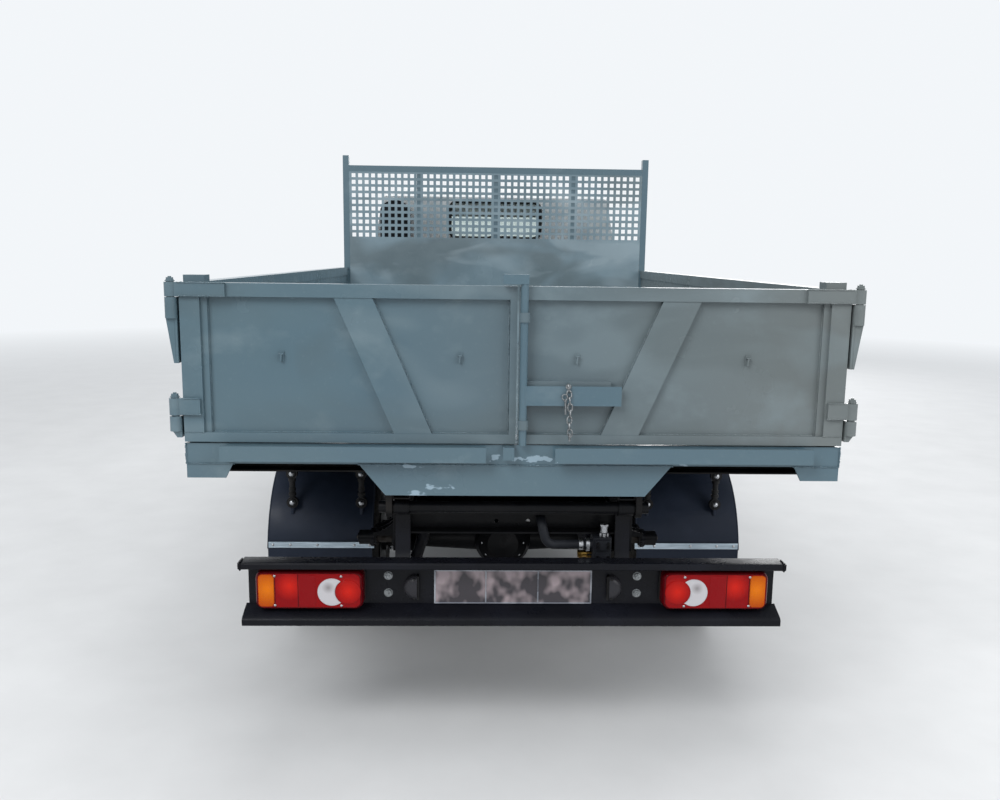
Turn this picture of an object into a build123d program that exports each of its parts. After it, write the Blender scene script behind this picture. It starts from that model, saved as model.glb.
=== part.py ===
"""A light tipper truck with a forward-control cab and a steel dump bed.

Millimetres, +X to the right, +Y forward, +Z up from the ground. The origin is on the
ground under the middle of the truck. Each piece that the real truck has is one node.
"""

import os
from math import sqrt

from build123d import *

# Stations along the truck, forward of its middle
bumper_face_y = 2660
front_axle_y = 1545
wheelbase = 2900
rear_axle_y = front_axle_y - wheelbase
cab_back_y = 960
headboard_y = 780
door_face_y = -2620
running_gap = 0.05
seat_gap = 0.3

# Wheels and tyres
tyre_radius = 340
tyre_width = 185
rim_radius = 203
rim_half_width = 78
rim_wall = 6
axle_z = tyre_radius
front_track = 1500
rear_track = 1500
twin_spacing = 215

# Chassis frame, a ladder of channels that drops under the cab
frame_top = 780
cab_frame_top = 580
drop_start_y = 450
drop_end_y = 950
rail_height = 140
rail_flange = 70
rail_outer = 410
rail_wall = 6
rail_rear_y = -2462
rail_front_y = 2570
rail_inner = rail_outer - rail_flange
web_inner = rail_outer - rail_wall
crossmember_width = 60
crossmember_gap = 1

# Subframe on the rails and the tipping pivot at its rear end
subframe_top = 838
subframe_inner = 350
subframe_outer = 400
subframe_front_y = 440
pivot_y = -2520
pivot_z = 812
pivot_radius = 20

# Dump bed
bed_half_width = 1050
bed_front_y = headboard_y + 50
floor_top = 1045
floor_plate = 5
beam_bottom = 843
beam_top = 930
bed_beam_inner = 345
bed_beam_outer = 405
cross_beam_width = 60
cross_beam_start_y = -2490
cross_beam_pitch = 400
cross_beam_count = 9
side_height = 505
headboard_top = 2291
headboard_half_width = 1030
post_width = 40
sill_front_y = -2540

# Tailboard doors
door_bottom = 1050
door_top = 1550
door_depth = 45
hinge_x = 1075
hinge_pin_radius = 12

# Cab
cab_half_width = 900
cab_floor_z = 590
cab_wall = 40
belt_z = 1380
roof_z = 2125
arch_radius = 430
door_gap = 8
cab_hinge_y = 2540
cab_hinge_z = 540

# Tip cylinder
cylinder_y = -1020
trunnion_z = 540
rod_eye_z = 965
os.makedirs("parts", exist_ok=True)


def block(x_span, y_span, z_span, mode=Mode.ADD):
    """A block between two corners, in the part being built."""
    spans = (x_span, y_span, z_span)
    with Locations(tuple(sum(span) / 2 for span in spans)):
        Box(*[abs(high - low) for low, high in spans], mode=mode)


def rod(start, end, radius, mode=Mode.ADD):
    """A round bar between two points, in the part being built."""
    way = Vector(*end) - Vector(*start)
    middle = Vector(*start) + way * 0.5
    with Locations(Plane(middle, z_dir=way.normalized())):
        Cylinder(radius, way.length, mode=mode)


def plate_x(points, x_span, mode=Mode.ADD):
    """A plate with an outline in Y and Z, thick along X."""
    with BuildSketch(Plane.YZ.offset(x_span[0])) as outline:
        Polygon(*points, align=None)
    extrude(outline.sketch, amount=x_span[1] - x_span[0], mode=mode)


def plate_y(points, y_span, mode=Mode.ADD):
    """A plate with an outline in X and Z, thick along Y."""
    with BuildSketch(Plane((0, y_span[1], 0), x_dir=(1, 0, 0), z_dir=(0, -1, 0))) as outline:
        Polygon(*points, align=None)
    extrude(outline.sketch, amount=y_span[1] - y_span[0], mode=mode)


def save(name, part):
    part.label = name
    export_step(part, f"parts/{name}.step")


def frame_top_at(y):
    """Height of the rails' upper face at a station."""
    share = min(max((y - drop_start_y) / (drop_end_y - drop_start_y), 0), 1)
    return frame_top + (cab_frame_top - frame_top) * share


# Frame rails
rail_stations = (rail_rear_y, drop_start_y, drop_end_y, rail_front_y)


def rail_outline(inset):
    upper = [(y, frame_top_at(y) - inset) for y in rail_stations]
    lower = [(y, frame_top_at(y) - rail_height + inset) for y in rail_stations]
    return upper + lower[::-1]


with BuildPart() as frame_rails:
    plate_x(rail_outline(0), (rail_inner, rail_outer))
    plate_x(rail_outline(rail_wall), (rail_inner, web_inner), mode=Mode.SUBTRACT)
    mirror(about=Plane.YZ)
save("frame_rails", frame_rails.part)

# Crossmembers with the pivot shaft, the cab's hinge tube and the cylinder's cradle plates
crossmember_height = rail_height - 2 * (rail_wall + crossmember_gap)
tow_beam_y = -2425
tow_beam_height = 74
# Columns: station, height of the channel
crossmember_table = [(y, crossmember_height) for y in (-1850, -1270, -870, -250, 350, 2080)]
crossmember_table.append((tow_beam_y, tow_beam_height))
cab_rest_y = 1040
seat_deck_z = 770
pivot_shaft_half = 450
cradle_x = (90, 106)
cradle_points = [(-1240, 770), (-900, 770), (-900, 650), (-985, 530), (-1055, 530), (-1240, 650)]
tow_hole_x = 55
tow_hole_z = 728
tow_hole_radius = 7.5
with BuildPart() as frame_crossmembers:
    for y, height in crossmember_table:
        top = frame_top_at(y) - rail_wall - crossmember_gap
        low = top - height
        y_span = (y - crossmember_width / 2, y + crossmember_width / 2)
        block((-web_inner, web_inner), y_span, (low, top))
        inner_y = (y_span[0] - 1, y_span[1] - rail_wall)
        block((-web_inner, web_inner), inner_y, (low + rail_wall, top - rail_wall), Mode.SUBTRACT)
    rod((-web_inner, cab_hinge_y, cab_hinge_z), (web_inner, cab_hinge_y, cab_hinge_z), pivot_radius)
    rest_y = (cab_rest_y - 20, cab_rest_y + 20)
    block((-rail_outer, rail_outer), rest_y, (seat_deck_z - 55, seat_deck_z - 15))
    for side in (-1, 1):
        leg_x = sorted((side * rail_inner, side * rail_outer))
        block(leg_x, rest_y, (cab_frame_top, seat_deck_z - 15))
        pad_x = sorted((side * 300, side * 370))
        block(pad_x, rest_y, (seat_deck_z - 15, seat_deck_z - seat_gap))
    rod((-pivot_shaft_half, pivot_y, pivot_z), (pivot_shaft_half, pivot_y, pivot_z), pivot_radius)
    for side in (-1, 1):
        plate_span = sorted((side * cradle_x[0], side * cradle_x[1]))
        plate_x(cradle_points, plate_span)
        trunnion_ends = [(x, cylinder_y, trunnion_z) for x in plate_span]
        rod(*trunnion_ends, 36)
        bearing_ends = [(x, cylinder_y, trunnion_z) for x in (plate_span[0] - 1, plate_span[1] + 1)]
        rod(*bearing_ends, pivot_radius + running_gap, Mode.SUBTRACT)
        hole_ends = [(side * tow_hole_x, tow_beam_y + way, tow_hole_z) for way in (0, crossmember_width)]
        rod(*hole_ends, tow_hole_radius, Mode.SUBTRACT)
save("frame_crossmembers", frame_crossmembers.part)

# Subframe rails with their pivot bosses and rest pads
pivot_boss = 26
pad_stations = (-2250, -1400, -500, 350)
with BuildPart() as subframe_rails:
    block((subframe_inner, subframe_outer), (pivot_y, subframe_front_y), (frame_top, subframe_top))
    block(
        (subframe_inner + 5, subframe_outer - 5),
        (pivot_y + 60, subframe_front_y + 1),
        (frame_top + 5, subframe_top - 5),
        Mode.SUBTRACT,
    )
    rod((subframe_inner, pivot_y, pivot_z), (subframe_outer, pivot_y, pivot_z), pivot_boss)
    for y in pad_stations:
        block((subframe_inner, subframe_outer), (y - 50, y + 50), (subframe_top, beam_bottom - seat_gap))
    rod((subframe_inner, pivot_y, pivot_z), (subframe_outer, pivot_y, pivot_z), pivot_radius, Mode.SUBTRACT)
    mirror(about=Plane.YZ)
save("subframe_rails", subframe_rails.part)


# Wheels: profiles of axial place and radius, turned about the axle line
def axle_plane(y):
    return Plane((0, y, axle_z), x_dir=(1, 0, 0), z_dir=(0, -1, 0))


def turned(y, profiles):
    """Turn profiles of (x, radius) about an axle line, in the part being built."""
    with BuildSketch(axle_plane(y)) as half_section:
        for points in profiles:
            Polygon(*points, align=None)
    revolve(half_section.sketch, axis=Axis((0, y, axle_z), (1, 0, 0)))


bead_gap = 0.3
flange_radius = 216
bulge_radius = 272
tread_half = 68


def tyre(side, y, centre):
    """One tyre, with its sidewalls bulged past the rim."""
    half = tyre_width / 2
    bead = rim_half_width - 8 - bead_gap
    right = [
        (bead, rim_radius + bead_gap),
        (bead, flange_radius + 2),
        (half - 9, flange_radius + 22),
        (half, bulge_radius),
        (half - 4, tyre_radius - 34),
        (tread_half + 8, tyre_radius - 10),
        (tread_half - 10, tyre_radius),
    ]
    left = [(-x, r) for x, r in reversed(right)]
    turned(y, [[(side * centre + x, r) for x, r in right + left]])


def barrel(centre, side):
    """Rim barrel with its two flanges, as (x, radius) points."""
    out = rim_half_width
    points = [
        (-out, flange_radius),
        (-out + 8, flange_radius),
        (-out + 8, rim_radius),
        (out - 8, rim_radius),
        (out - 8, flange_radius),
        (out, flange_radius),
        (out, rim_radius - rim_wall),
        (-out, rim_radius - rim_wall),
    ]
    return [(side * (centre + x), r) for x, r in points]


def sided(side, points):
    return [(side * x, r) for x, r in points]


def vent_holes(side, y, x_span, ring, radius, count):
    """Round holes through a wheel's disc."""
    middle = side * (x_span[0] + x_span[1]) / 2
    with Locations(Plane((middle, y, axle_z), z_dir=(1, 0, 0))):
        with PolarLocations(ring, count):
            Cylinder(radius, x_span[1] - x_span[0], mode=Mode.SUBTRACT)


disc_wall = 8
spindle_radius = 30
front_centre = front_track / 2
front_hub_plane = front_centre + 92
kingpin_x = 665
knuckle_plate_x = (703, 718)
drum_radius = 138
front_inner_rim = rim_radius - rim_wall + 1

front_disc = [
    (front_centre + 20, front_inner_rim),
    (front_centre + 34, front_inner_rim),
    (front_hub_plane - 6, 150),
    (front_hub_plane + disc_wall, 112),
    (front_hub_plane + disc_wall, 60),
    (front_hub_plane + 30, 54),
    (front_hub_plane + 34, 0),
    (front_hub_plane - 4, 0),
    (front_hub_plane - 4, 108),
    (front_hub_plane - 16, 146),
]
front_drum = [
    (730, drum_radius),
    (800, drum_radius),
    (800, 70),
    (front_hub_plane, 70),
    (front_hub_plane, spindle_radius + running_gap),
    (740, spindle_radius + running_gap),
    (740, 60),
    (788, 60),
    (788, drum_radius - 8),
    (730, drum_radius - 8),
]
hub_spindle_end = front_hub_plane - 8

rear_half = rear_track / 2
inner_centre = rear_half - twin_spacing / 2
outer_centre = rear_half + twin_spacing / 2
hub_radius = 62
stub_radius = 40
rear_drum_radius = 160
rear_inner_rim = rim_radius - rim_wall + 1
rear_inner_disc = [
    (rear_half, 115),
    (rear_half - 30, 165),
    (rear_half - 45, rear_inner_rim),
    (rear_half - 57, rear_inner_rim),
    (rear_half - 40, 160),
    (rear_half - disc_wall, 110),
    (rear_half - disc_wall, stub_radius + 2),
    (rear_half, stub_radius + 2),
]
rear_outer_disc = [(2 * rear_half - x, r) for x, r in rear_inner_disc]
rear_hub = [
    (590, hub_radius),
    (rear_half + 20, hub_radius),
    (rear_half + 55, 52),
    (rear_half + 60, 0),
    (rear_half - 10, 0),
    (rear_half - 10, stub_radius + running_gap),
    (590, stub_radius + running_gap),
]
rear_drum = [
    (575, rear_drum_radius),
    (668, rear_drum_radius),
    (668, hub_radius - 2),
    (656, hub_radius - 2),
    (656, rear_drum_radius - 8),
    (575, rear_drum_radius - 8),
]
stations = (("left", -1), ("right", 1))
for word, side in stations:
    with BuildPart() as front_tyre:
        tyre(side, front_axle_y, front_centre)
    save(f"front_{word}_tyre", front_tyre.part)
    with BuildPart() as front_wheel:
        profiles = [barrel(front_centre, side), sided(side, front_disc), sided(side, front_drum)]
        turned(front_axle_y, profiles)
        vent_holes(side, front_axle_y, (front_centre + 50, front_hub_plane + 20), 158, 17, 10)
    save(f"front_{word}_wheel", front_wheel.part)
    with BuildPart() as rear_tyres:
        tyre(side, rear_axle_y, inner_centre)
        tyre(side, rear_axle_y, outer_centre)
    save(f"rear_{word}_tyres", rear_tyres.part)
    with BuildPart() as rear_wheels:
        profiles = [barrel(inner_centre, side), barrel(outer_centre, side)]
        profiles += [sided(side, rear_inner_disc), sided(side, rear_outer_disc)]
        profiles += [sided(side, rear_hub), sided(side, rear_drum)]
        turned(rear_axle_y, profiles)
        vent_holes(side, rear_axle_y, (rear_half - 55, rear_half + 55), 150, 17, 10)
    save(f"rear_{word}_wheels", rear_wheels.part)

# Rear axle: arms, banjo housing, spring seats, brake plates and stubs
banjo_radius = 130
arm_profile = [
    (0, 0),
    (0, 74),
    (120, 66),
    (420, 50),
    (540, 50),
    (540, 70),
    (556, 70),
    (556, 165),
    (562, 165),
    (562, stub_radius),
    (rear_half - 22, stub_radius),
    (rear_half - 22, 0),
]
banjo_profile = [
    (0, -150),
    (70, -138),
    (112, -100),
    (banjo_radius, -62),
    (banjo_radius, 62),
    (96, 120),
    (48, 175),
    (48, 215),
    (0, 215),
]
spring_x = (450, 510)
spring_seat_z = 404
shock_foot = (400, rear_axle_y - 115, 262)
shock_lug_reach = 48
with BuildPart() as rear_axle:
    turned(rear_axle_y, [arm_profile, sided(-1, arm_profile)])
    with BuildSketch(Plane((0, rear_axle_y, axle_z), x_dir=(1, 0, 0), z_dir=(0, 0, 1))):
        Polygon(*banjo_profile, align=None)
    revolve(axis=Axis((0, rear_axle_y, axle_z), (0, 1, 0)))
    for side in (-1, 1):
        seat_x = sorted((side * spring_x[0], side * spring_x[1]))
        block(seat_x, (rear_axle_y - 45, rear_axle_y + 45), (axle_z, spring_seat_z))
        foot_x = side * shock_foot[0]
        lug_y = (rear_axle_y - shock_lug_reach, rear_axle_y - shock_lug_reach + 10)
        block((foot_x - 22, foot_x + 22), lug_y, (shock_foot[2] - 22, shock_foot[2] + 50))
        block((foot_x - 5, foot_x + 5), (lug_y[0], rear_axle_y), (shock_foot[2] - 22, axle_z))
save("rear_axle", rear_axle.part)

# Front axle beam with its kingpin bosses
kingpin_radius = 15
boss_radius = 32
boss_z = (296, 384)
beam_y = (front_axle_y - 30, front_axle_y + 30)
front_spring_x = (345, 405)
front_seat_z = 345
beam_points = [
    (-kingpin_x, 308),
    (-560, 305),
    (-430, 255),
    (430, 255),
    (560, 305),
    (kingpin_x, 308),
    (kingpin_x, 372),
    (570, 372),
    (420, 325),
    (-420, 325),
    (-570, 372),
    (-kingpin_x, 372),
]
with BuildPart() as front_axle:
    plate_y(beam_points, beam_y)
    for side in (-1, 1):
        x = side * kingpin_x
        rod((x, front_axle_y, boss_z[0]), (x, front_axle_y, boss_z[1]), boss_radius)
        rod(
            (x, front_axle_y, boss_z[0] - 1),
            (x, front_axle_y, boss_z[1] + 1),
            kingpin_radius + running_gap,
            Mode.SUBTRACT,
        )
        seat_x = sorted((side * front_spring_x[0], side * front_spring_x[1]))
        block(seat_x, (front_axle_y - 45, front_axle_y + 45), (300, front_seat_z))
save("front_axle", front_axle.part)

# Steering knuckles with kingpin, spindle and steering arm
ear_wall = 24
ear_gap = 4
arm_reach = 130
arm_end = (kingpin_x, front_axle_y - arm_reach)
rod_pin_radius = 10
tie_rod_z = 250
for word, side in stations:
    with BuildPart() as knuckle:
        x = side * kingpin_x
        low_ear = (boss_z[0] - ear_gap - ear_wall, boss_z[0] - ear_gap)
        high_ear = (boss_z[1] + ear_gap, boss_z[1] + ear_gap + ear_wall)
        for z_span in (low_ear, high_ear):
            rod((x, front_axle_y, z_span[0]), (x, front_axle_y, z_span[1]), boss_radius)
            ear_x = sorted((x, side * knuckle_plate_x[0]))
            block(ear_x, (front_axle_y - boss_radius, front_axle_y + boss_radius), z_span)
        plate_span = sorted((side * knuckle_plate_x[0], side * knuckle_plate_x[1]))
        block(plate_span, (front_axle_y - 45, front_axle_y + 45), (low_ear[0], high_ear[1]))
        rod((x, front_axle_y, low_ear[0] - 6), (x, front_axle_y, high_ear[1] + 6), kingpin_radius)
        turned(
            front_axle_y,
            [
                sided(side, [(knuckle_plate_x[1], 0), (knuckle_plate_x[1], 140), (724, 140), (724, 0)]),
                sided(side, [(720, 0), (720, spindle_radius), (hub_spindle_end, spindle_radius), (hub_spindle_end, 0)]),
            ],
        )
        end_x = side * arm_end[0]
        with BuildSketch(Plane.XY.offset(low_ear[0])):
            Polygon(
                (x - 24, front_axle_y - 10),
                (x + 24, front_axle_y - 10),
                (end_x + 18, arm_end[1]),
                (end_x - 18, arm_end[1]),
                align=None,
            )
            with Locations(arm_end if side > 0 else (end_x, arm_end[1])):
                Circle(20)
        extrude(amount=ear_wall)
        rod((end_x, arm_end[1], tie_rod_z - 16), (end_x, arm_end[1], low_ear[0]), rod_pin_radius)
    save(f"knuckle_{word}", knuckle.part)

# Tie rod between the steering arms
rod_eye_radius = 20
with BuildPart() as tie_rod:
    rod((-arm_end[0], arm_end[1], tie_rod_z), (arm_end[0], arm_end[1], tie_rod_z), 11)
    for side in (-1, 1):
        x = side * arm_end[0]
        rod((x, arm_end[1], tie_rod_z - 12), (x, arm_end[1], tie_rod_z + 12), rod_eye_radius)
    for x, clearance in ((-arm_end[0], running_gap), (arm_end[0], 2)):
        rod(
            (x, arm_end[1], tie_rod_z - 13),
            (x, arm_end[1], tie_rod_z + 13),
            rod_pin_radius + clearance,
            Mode.SUBTRACT,
        )
save("tie_rod", tie_rod.part)

# Leaf springs: stacked leaves on arcs of one centre, with an eye at each end
leaf_wall = 12
# Columns: axle station, x span, seat height, half length, rise of the ends, leaves
spring_table = (
    (rear_axle_y, spring_x, spring_seat_z, 700, 120, 3),
    (front_axle_y, front_spring_x, front_seat_z, 520, 16, 3),
)
spring_eye_radius = 20
spring_eyes = []
with BuildPart() as leaf_springs:
    for axle_y, x_span, seat_z, half_length, rise, leaves in spring_table:
        top_z = seat_z + leaves * leaf_wall
        radius = (half_length**2 + rise**2) / (2 * rise)
        centre = (axle_y, top_z + radius)
        with BuildSketch(Plane.YZ.offset(x_span[0])):
            for leaf in range(leaves):
                near = radius + leaf * leaf_wall
                far = near + leaf_wall
                reach = half_length * (1 - 0.27 * leaf)
                ends = []
                for r in (near, far):
                    drop = sqrt(radius**2 - reach**2) * r / radius
                    shift = reach * r / radius
                    ends.append(((centre[0] - shift, centre[1] - drop), (centre[0] + shift, centre[1] - drop)))
                with BuildLine():
                    ThreePointArc(ends[0][0], (centre[0], centre[1] - near), ends[0][1])
                    Line(ends[0][1], ends[1][1])
                    ThreePointArc(ends[1][1], (centre[0], centre[1] - far), ends[1][0])
                    Line(ends[1][0], ends[0][0])
                make_face()
            for way in (-1, 1):
                eye = (axle_y + way * half_length, top_z + rise - 4)
                with Locations(eye):
                    Circle(spring_eye_radius)
                spring_eyes.append((eye, x_span))
        extrude(amount=x_span[1] - x_span[0])
    mirror(about=Plane.YZ)
save("leaf_springs", leaf_springs.part)

# Spring hangers: round-ended cheeks at every eye, under the rail or on an arched bracket beside it
cheek_wall = 9
hanger_half = 28
bracket_half = 62
bracket_wall = 12
pin_boss_radius = 28
with BuildPart() as spring_hangers:
    for (eye_y, eye_z), (low_x, high_x) in spring_eyes:
        beside = low_x > rail_outer
        rail_low = frame_top_at(eye_y) - rail_height
        foot_low = eye_z + spring_eye_radius + 5
        foot_top = foot_low + bracket_wall if beside else rail_low
        cheek_y = (eye_y - hanger_half, eye_y + hanger_half)
        outer_x = high_x + cheek_wall
        for x_span in ((low_x - cheek_wall, low_x), (high_x, outer_x)):
            block(x_span, cheek_y, (eye_z, foot_top))
            rod((x_span[0], eye_y, eye_z), (x_span[1], eye_y, eye_z), hanger_half)
        if beside:
            bracket_y = (eye_y - bracket_half, eye_y + bracket_half)
            bracket_top = foot_low + 110
            block((rail_outer, rail_outer + bracket_wall), bracket_y, (foot_low, bracket_top))
            block((rail_outer, outer_x), cheek_y, (foot_low, foot_top))
            for y in (bracket_y[0], eye_y - bracket_wall / 2, bracket_y[1] - bracket_wall):
                with BuildSketch(Plane((0, y + bracket_wall, 0), x_dir=(1, 0, 0), z_dir=(0, -1, 0))) as arch:
                    with BuildLine():
                        heel = (rail_outer, foot_low)
                        Polyline((rail_outer, bracket_top), heel, (outer_x, foot_low), (outer_x, foot_top))
                        RadiusArc((outer_x, foot_top), (rail_outer, bracket_top), 2 * bracket_half)
                    make_face()
                extrude(arch.sketch, amount=bracket_wall)
            block((outer_x - cheek_wall, outer_x), bracket_y, (foot_low, foot_top))
            rod((outer_x, eye_y, eye_z), (outer_x + 58, eye_y, eye_z), pin_boss_radius)
        else:
            block((low_x - cheek_wall, outer_x), cheek_y, (foot_low, foot_top))
    mirror(about=Plane.YZ)
save("spring_hangers", spring_hangers.part)

# Rear shock absorbers from the axle arms up to studs on a crossmember
shock_head = (280, -1790, 690)
shock_radius = 27
with BuildPart() as shock_absorbers:
    foot = Vector(*shock_foot)
    way = Vector(*shock_head) - foot
    rod(foot + way * 0.05, foot + way * 0.46, shock_radius)
    rod(foot + way * 0.46, foot + way * 0.93, shock_radius + 5)
    rod(foot, foot + way, 12)
    for x, y, z in (shock_foot, shock_head):
        rod((x, y - 17, z), (x, y + 17, z), 21)
    rod(shock_head, (shock_head[0], -1850 + crossmember_width / 2, shock_head[2]), 10)
    rod(shock_foot, (shock_foot[0], rear_axle_y - shock_lug_reach, shock_foot[2]), 10)
    mirror(about=Plane.YZ)
save("shock_absorbers", shock_absorbers.part)

# Engine and gearbox as one plain mass, with its mounts on the rails
engine_y = (1180, 1880)
gearbox_rear_y = 700
gearbox_z = (360, 520)
output_z = 420
with BuildPart() as engine_block:
    block((-240, 240), engine_y, (385, 740))
    chamfer(engine_block.edges().filter_by(Axis.Y), 30)
    block((-130, 130), (gearbox_rear_y, engine_y[0]), gearbox_z)
    rod((0, gearbox_rear_y - 30, output_z), (0, gearbox_rear_y + 5, output_z), 45)
    block((-web_inner, web_inner), (1420, 1470), (480, 520))
    block((-web_inner, web_inner), (990, 1030), (470, 510))
save("engine_block", engine_block.part)

# Propeller shaft between upright yokes
pinion_y = rear_axle_y + 215
with BuildPart() as prop_shaft:
    rod((0, pinion_y, axle_z), (0, pinion_y + 50, axle_z), 45)
    rod((0, gearbox_rear_y - 80, output_z), (0, gearbox_rear_y - 30, output_z), 45)
    rod((0, pinion_y + 20, axle_z), (0, gearbox_rear_y - 50, output_z), 32)
save("prop_shaft", prop_shaft.part)

# Fuel tank on the right rail
tank_x = (rail_outer + 12, 700)
tank_y = (-300, 350)
tank_z = (440, 700)
with BuildPart() as fuel_tank:
    block(tank_x, tank_y, tank_z)
    fillet(fuel_tank.edges().filter_by(Axis.Y), 45)
    for y in (-180, 230):
        block((rail_outer, tank_x[0] + 40), (y - 20, y + 20), (frame_top - rail_height + 10, tank_z[1] - 10))
save("fuel_tank", fuel_tank.part)

# Battery box on the left rail
with BuildPart() as battery_box:
    block((-650, -rail_outer), (-60, 330), (640, 655))
    block((-650, -rail_outer - 10), (-60, 330), (450, 640))
    chamfer(battery_box.edges().filter_by(Axis.Y).group_by(Axis.Z)[0], 20)
save("battery_box", battery_box.part)

# Exhaust between the rails, hung from two crossmembers
exhaust_x = -225
exhaust_z = 560
silencer_radius = 82
with BuildPart() as exhaust:
    rod((exhaust_x, -760, exhaust_z), (exhaust_x, -330, exhaust_z), silencer_radius)
    rod((exhaust_x, -335, exhaust_z), (exhaust_x, engine_y[0], exhaust_z), 25)
    rod((exhaust_x, -750, exhaust_z), (exhaust_x, -820, exhaust_z - 70), 25)
    hang_z = frame_top - rail_height + rail_wall + crossmember_gap
    for y in (-860, -250):
        block((exhaust_x - 15, exhaust_x + 15), (y - 4, y + 4), (exhaust_z, hang_z))
    block((exhaust_x - 15, exhaust_x + 15), (-860, -750), (exhaust_z - 4, exhaust_z + 4))
save("exhaust", exhaust.part)

# Valve block under the tow beam, with its fittings and the hose from the pump
valve_x = (272, rail_inner - 4)
valve_y = (-2500, -2420)
valve_z = (596, frame_top - rail_wall - crossmember_gap - tow_beam_height)
hose_radius = 16
hose_start_x = 96
hose_y = -2475
hose_z = (748, 668)
with BuildPart() as valve_block:
    block(valve_x, valve_y, valve_z)
    chamfer(valve_block.edges().filter_by(Axis.Z), 6)
    for z in (valve_z[0] + 14, valve_z[0] + 62):
        block((valve_x[0] + 8, valve_x[1] - 8), (valve_y[0] - 8, valve_y[0]), (z, z + 34))
    rod((311, -2478, valve_z[1]), (311, -2478, valve_z[1] + 14), 15)
    rod((311, -2478, valve_z[1]), (311, -2478, valve_z[1] + 38), 10)
    for x, radius in ((-14, 15), (-42, 10)):
        rod((valve_x[0] + x, -2450, 628), (valve_x[0], -2450, 628), radius)
    with BuildLine() as hose_line:
        FilletPolyline(
            (hose_start_x, tow_beam_y + crossmember_width / 2 - rail_wall, hose_z[0]),
            (hose_start_x, hose_y, hose_z[0]),
            (hose_start_x + 20, hose_y, hose_z[1]),
            (valve_x[0], hose_y, hose_z[1]),
            radius=34,
        )
    with BuildSketch(Plane(hose_line.line @ 0, z_dir=hose_line.line % 0)) as hose_section:
        Circle(hose_radius)
    sweep(hose_section.sketch, path=hose_line.line)
    rod((valve_x[0] - 24, hose_y, hose_z[1]), (valve_x[0], hose_y, hose_z[1]), hose_radius + 4)
save("valve_block", valve_block.part)

# Rear bumper: one channel open to the rear, with closed ends and its bent brackets
bumper_half = 888
lip_y = -2606
web_y = -2535
bumper_web = 4
bumper_points = [
    (lip_y, 430),
    (web_y + bumper_web, 430),
    (web_y + bumper_web, 660),
    (lip_y, 660),
    (lip_y, 622),
    (lip_y + 12, 622),
    (lip_y + 12, 648),
    (web_y - 14, 648),
    (web_y, 634),
    (web_y, 482),
    (web_y - 4, 478),
    (lip_y, 478),
]
bracket_x = (341, 395)
with BuildPart() as rear_bumper:
    plate_x(bumper_points, (-bumper_half, bumper_half))
    for side in (-1, 1):
        end_x = sorted((side * (bumper_half - 6), side * bumper_half))
        block(end_x, (lip_y, web_y + bumper_web), (430, 668))
    with BuildSketch(Plane.YZ.offset(bracket_x[0])):
        Polygon(
            (rail_rear_y, frame_top),
            (rail_rear_y, 640),
            (rail_rear_y - 14, 612),
            (web_y + bumper_web, 560),
            (web_y + bumper_web, 571),
            (rail_rear_y - 22, 620),
            (rail_rear_y - 9, 646),
            (rail_rear_y - 9, frame_top),
            align=None,
        )
    extrude(amount=bracket_x[1] - bracket_x[0])
    block(bracket_x, (web_y + bumper_web, web_y + bumper_web + 6), (480, 640))
    mirror(about=Plane.YZ)
save("rear_bumper", rear_bumper.part)

# Tail lamps and the blank number plate on the bumper web
lamp_centre = (674, 549)
lamp_size = (358, 130)
lamp_depth = 56
with BuildPart() as tail_lamps:
    for side in (-1, 1):
        with BuildSketch(Plane((side * lamp_centre[0], web_y, lamp_centre[1]), x_dir=(1, 0, 0), z_dir=(0, -1, 0))):
            RectangleRounded(*lamp_size, 34)
        extrude(amount=lamp_depth, taper=4)
save("tail_lamps", tail_lamps.part)

plate_size = (520, 110)
plate_z = 539
with BuildPart() as number_plate:
    with BuildSketch(Plane((0, web_y, plate_z), x_dir=(1, 0, 0), z_dir=(0, -1, 0))):
        RectangleRounded(*plate_size, 8)
    extrude(amount=3)
save("number_plate", number_plate.part)

# Mudguards: arched sheets over the wheels and the bars that carry them
guard_wall = 4
# Columns: axle station, inner radius, x span, arc from, arc to, in degrees from +Y
guard_table = (
    (rear_axle_y, 390, (566, 1006), 12, 171),
    (front_axle_y, 400, (470, 870), 12, 168),
)
rear_bar_y = (rear_axle_y - 335, rear_axle_y + 335)
rear_bar_z = 755
front_bar_y = (front_axle_y - 337, front_axle_y + 337)
front_bar_z = 560
flap_z = (240, 402)
with BuildPart() as mudguards:
    for axle_y, radius, x_span, start, stop in guard_table:
        with BuildSketch(Plane.YZ.offset(x_span[0])):
            with BuildLine():
                path = CenterArc((axle_y, axle_z), radius, start, stop - start)
                wide = CenterArc((axle_y, axle_z), radius + guard_wall, start, stop - start)
                Line(path @ 0, wide @ 0)
                Line(path @ 1, wide @ 1)
            make_face()
        extrude(amount=x_span[1] - x_span[0])
    for y in rear_bar_y:
        rod((rail_outer, y, rear_bar_z), (930, y, rear_bar_z), 12)
        drop = sqrt(390**2 - 335**2)
        for x in (615, 908):
            rod((x, y, axle_z + drop), (x, y, rear_bar_z), 8)
    flap_y = rear_axle_y - 390
    block(guard_table[0][2], (flap_y, flap_y + guard_wall), flap_z)
    for y in front_bar_y:
        rod((rail_outer, y, front_bar_z), (800, y, front_bar_z), 10)
    mirror(about=Plane.YZ)
save("mudguards", mudguards.part)

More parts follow.
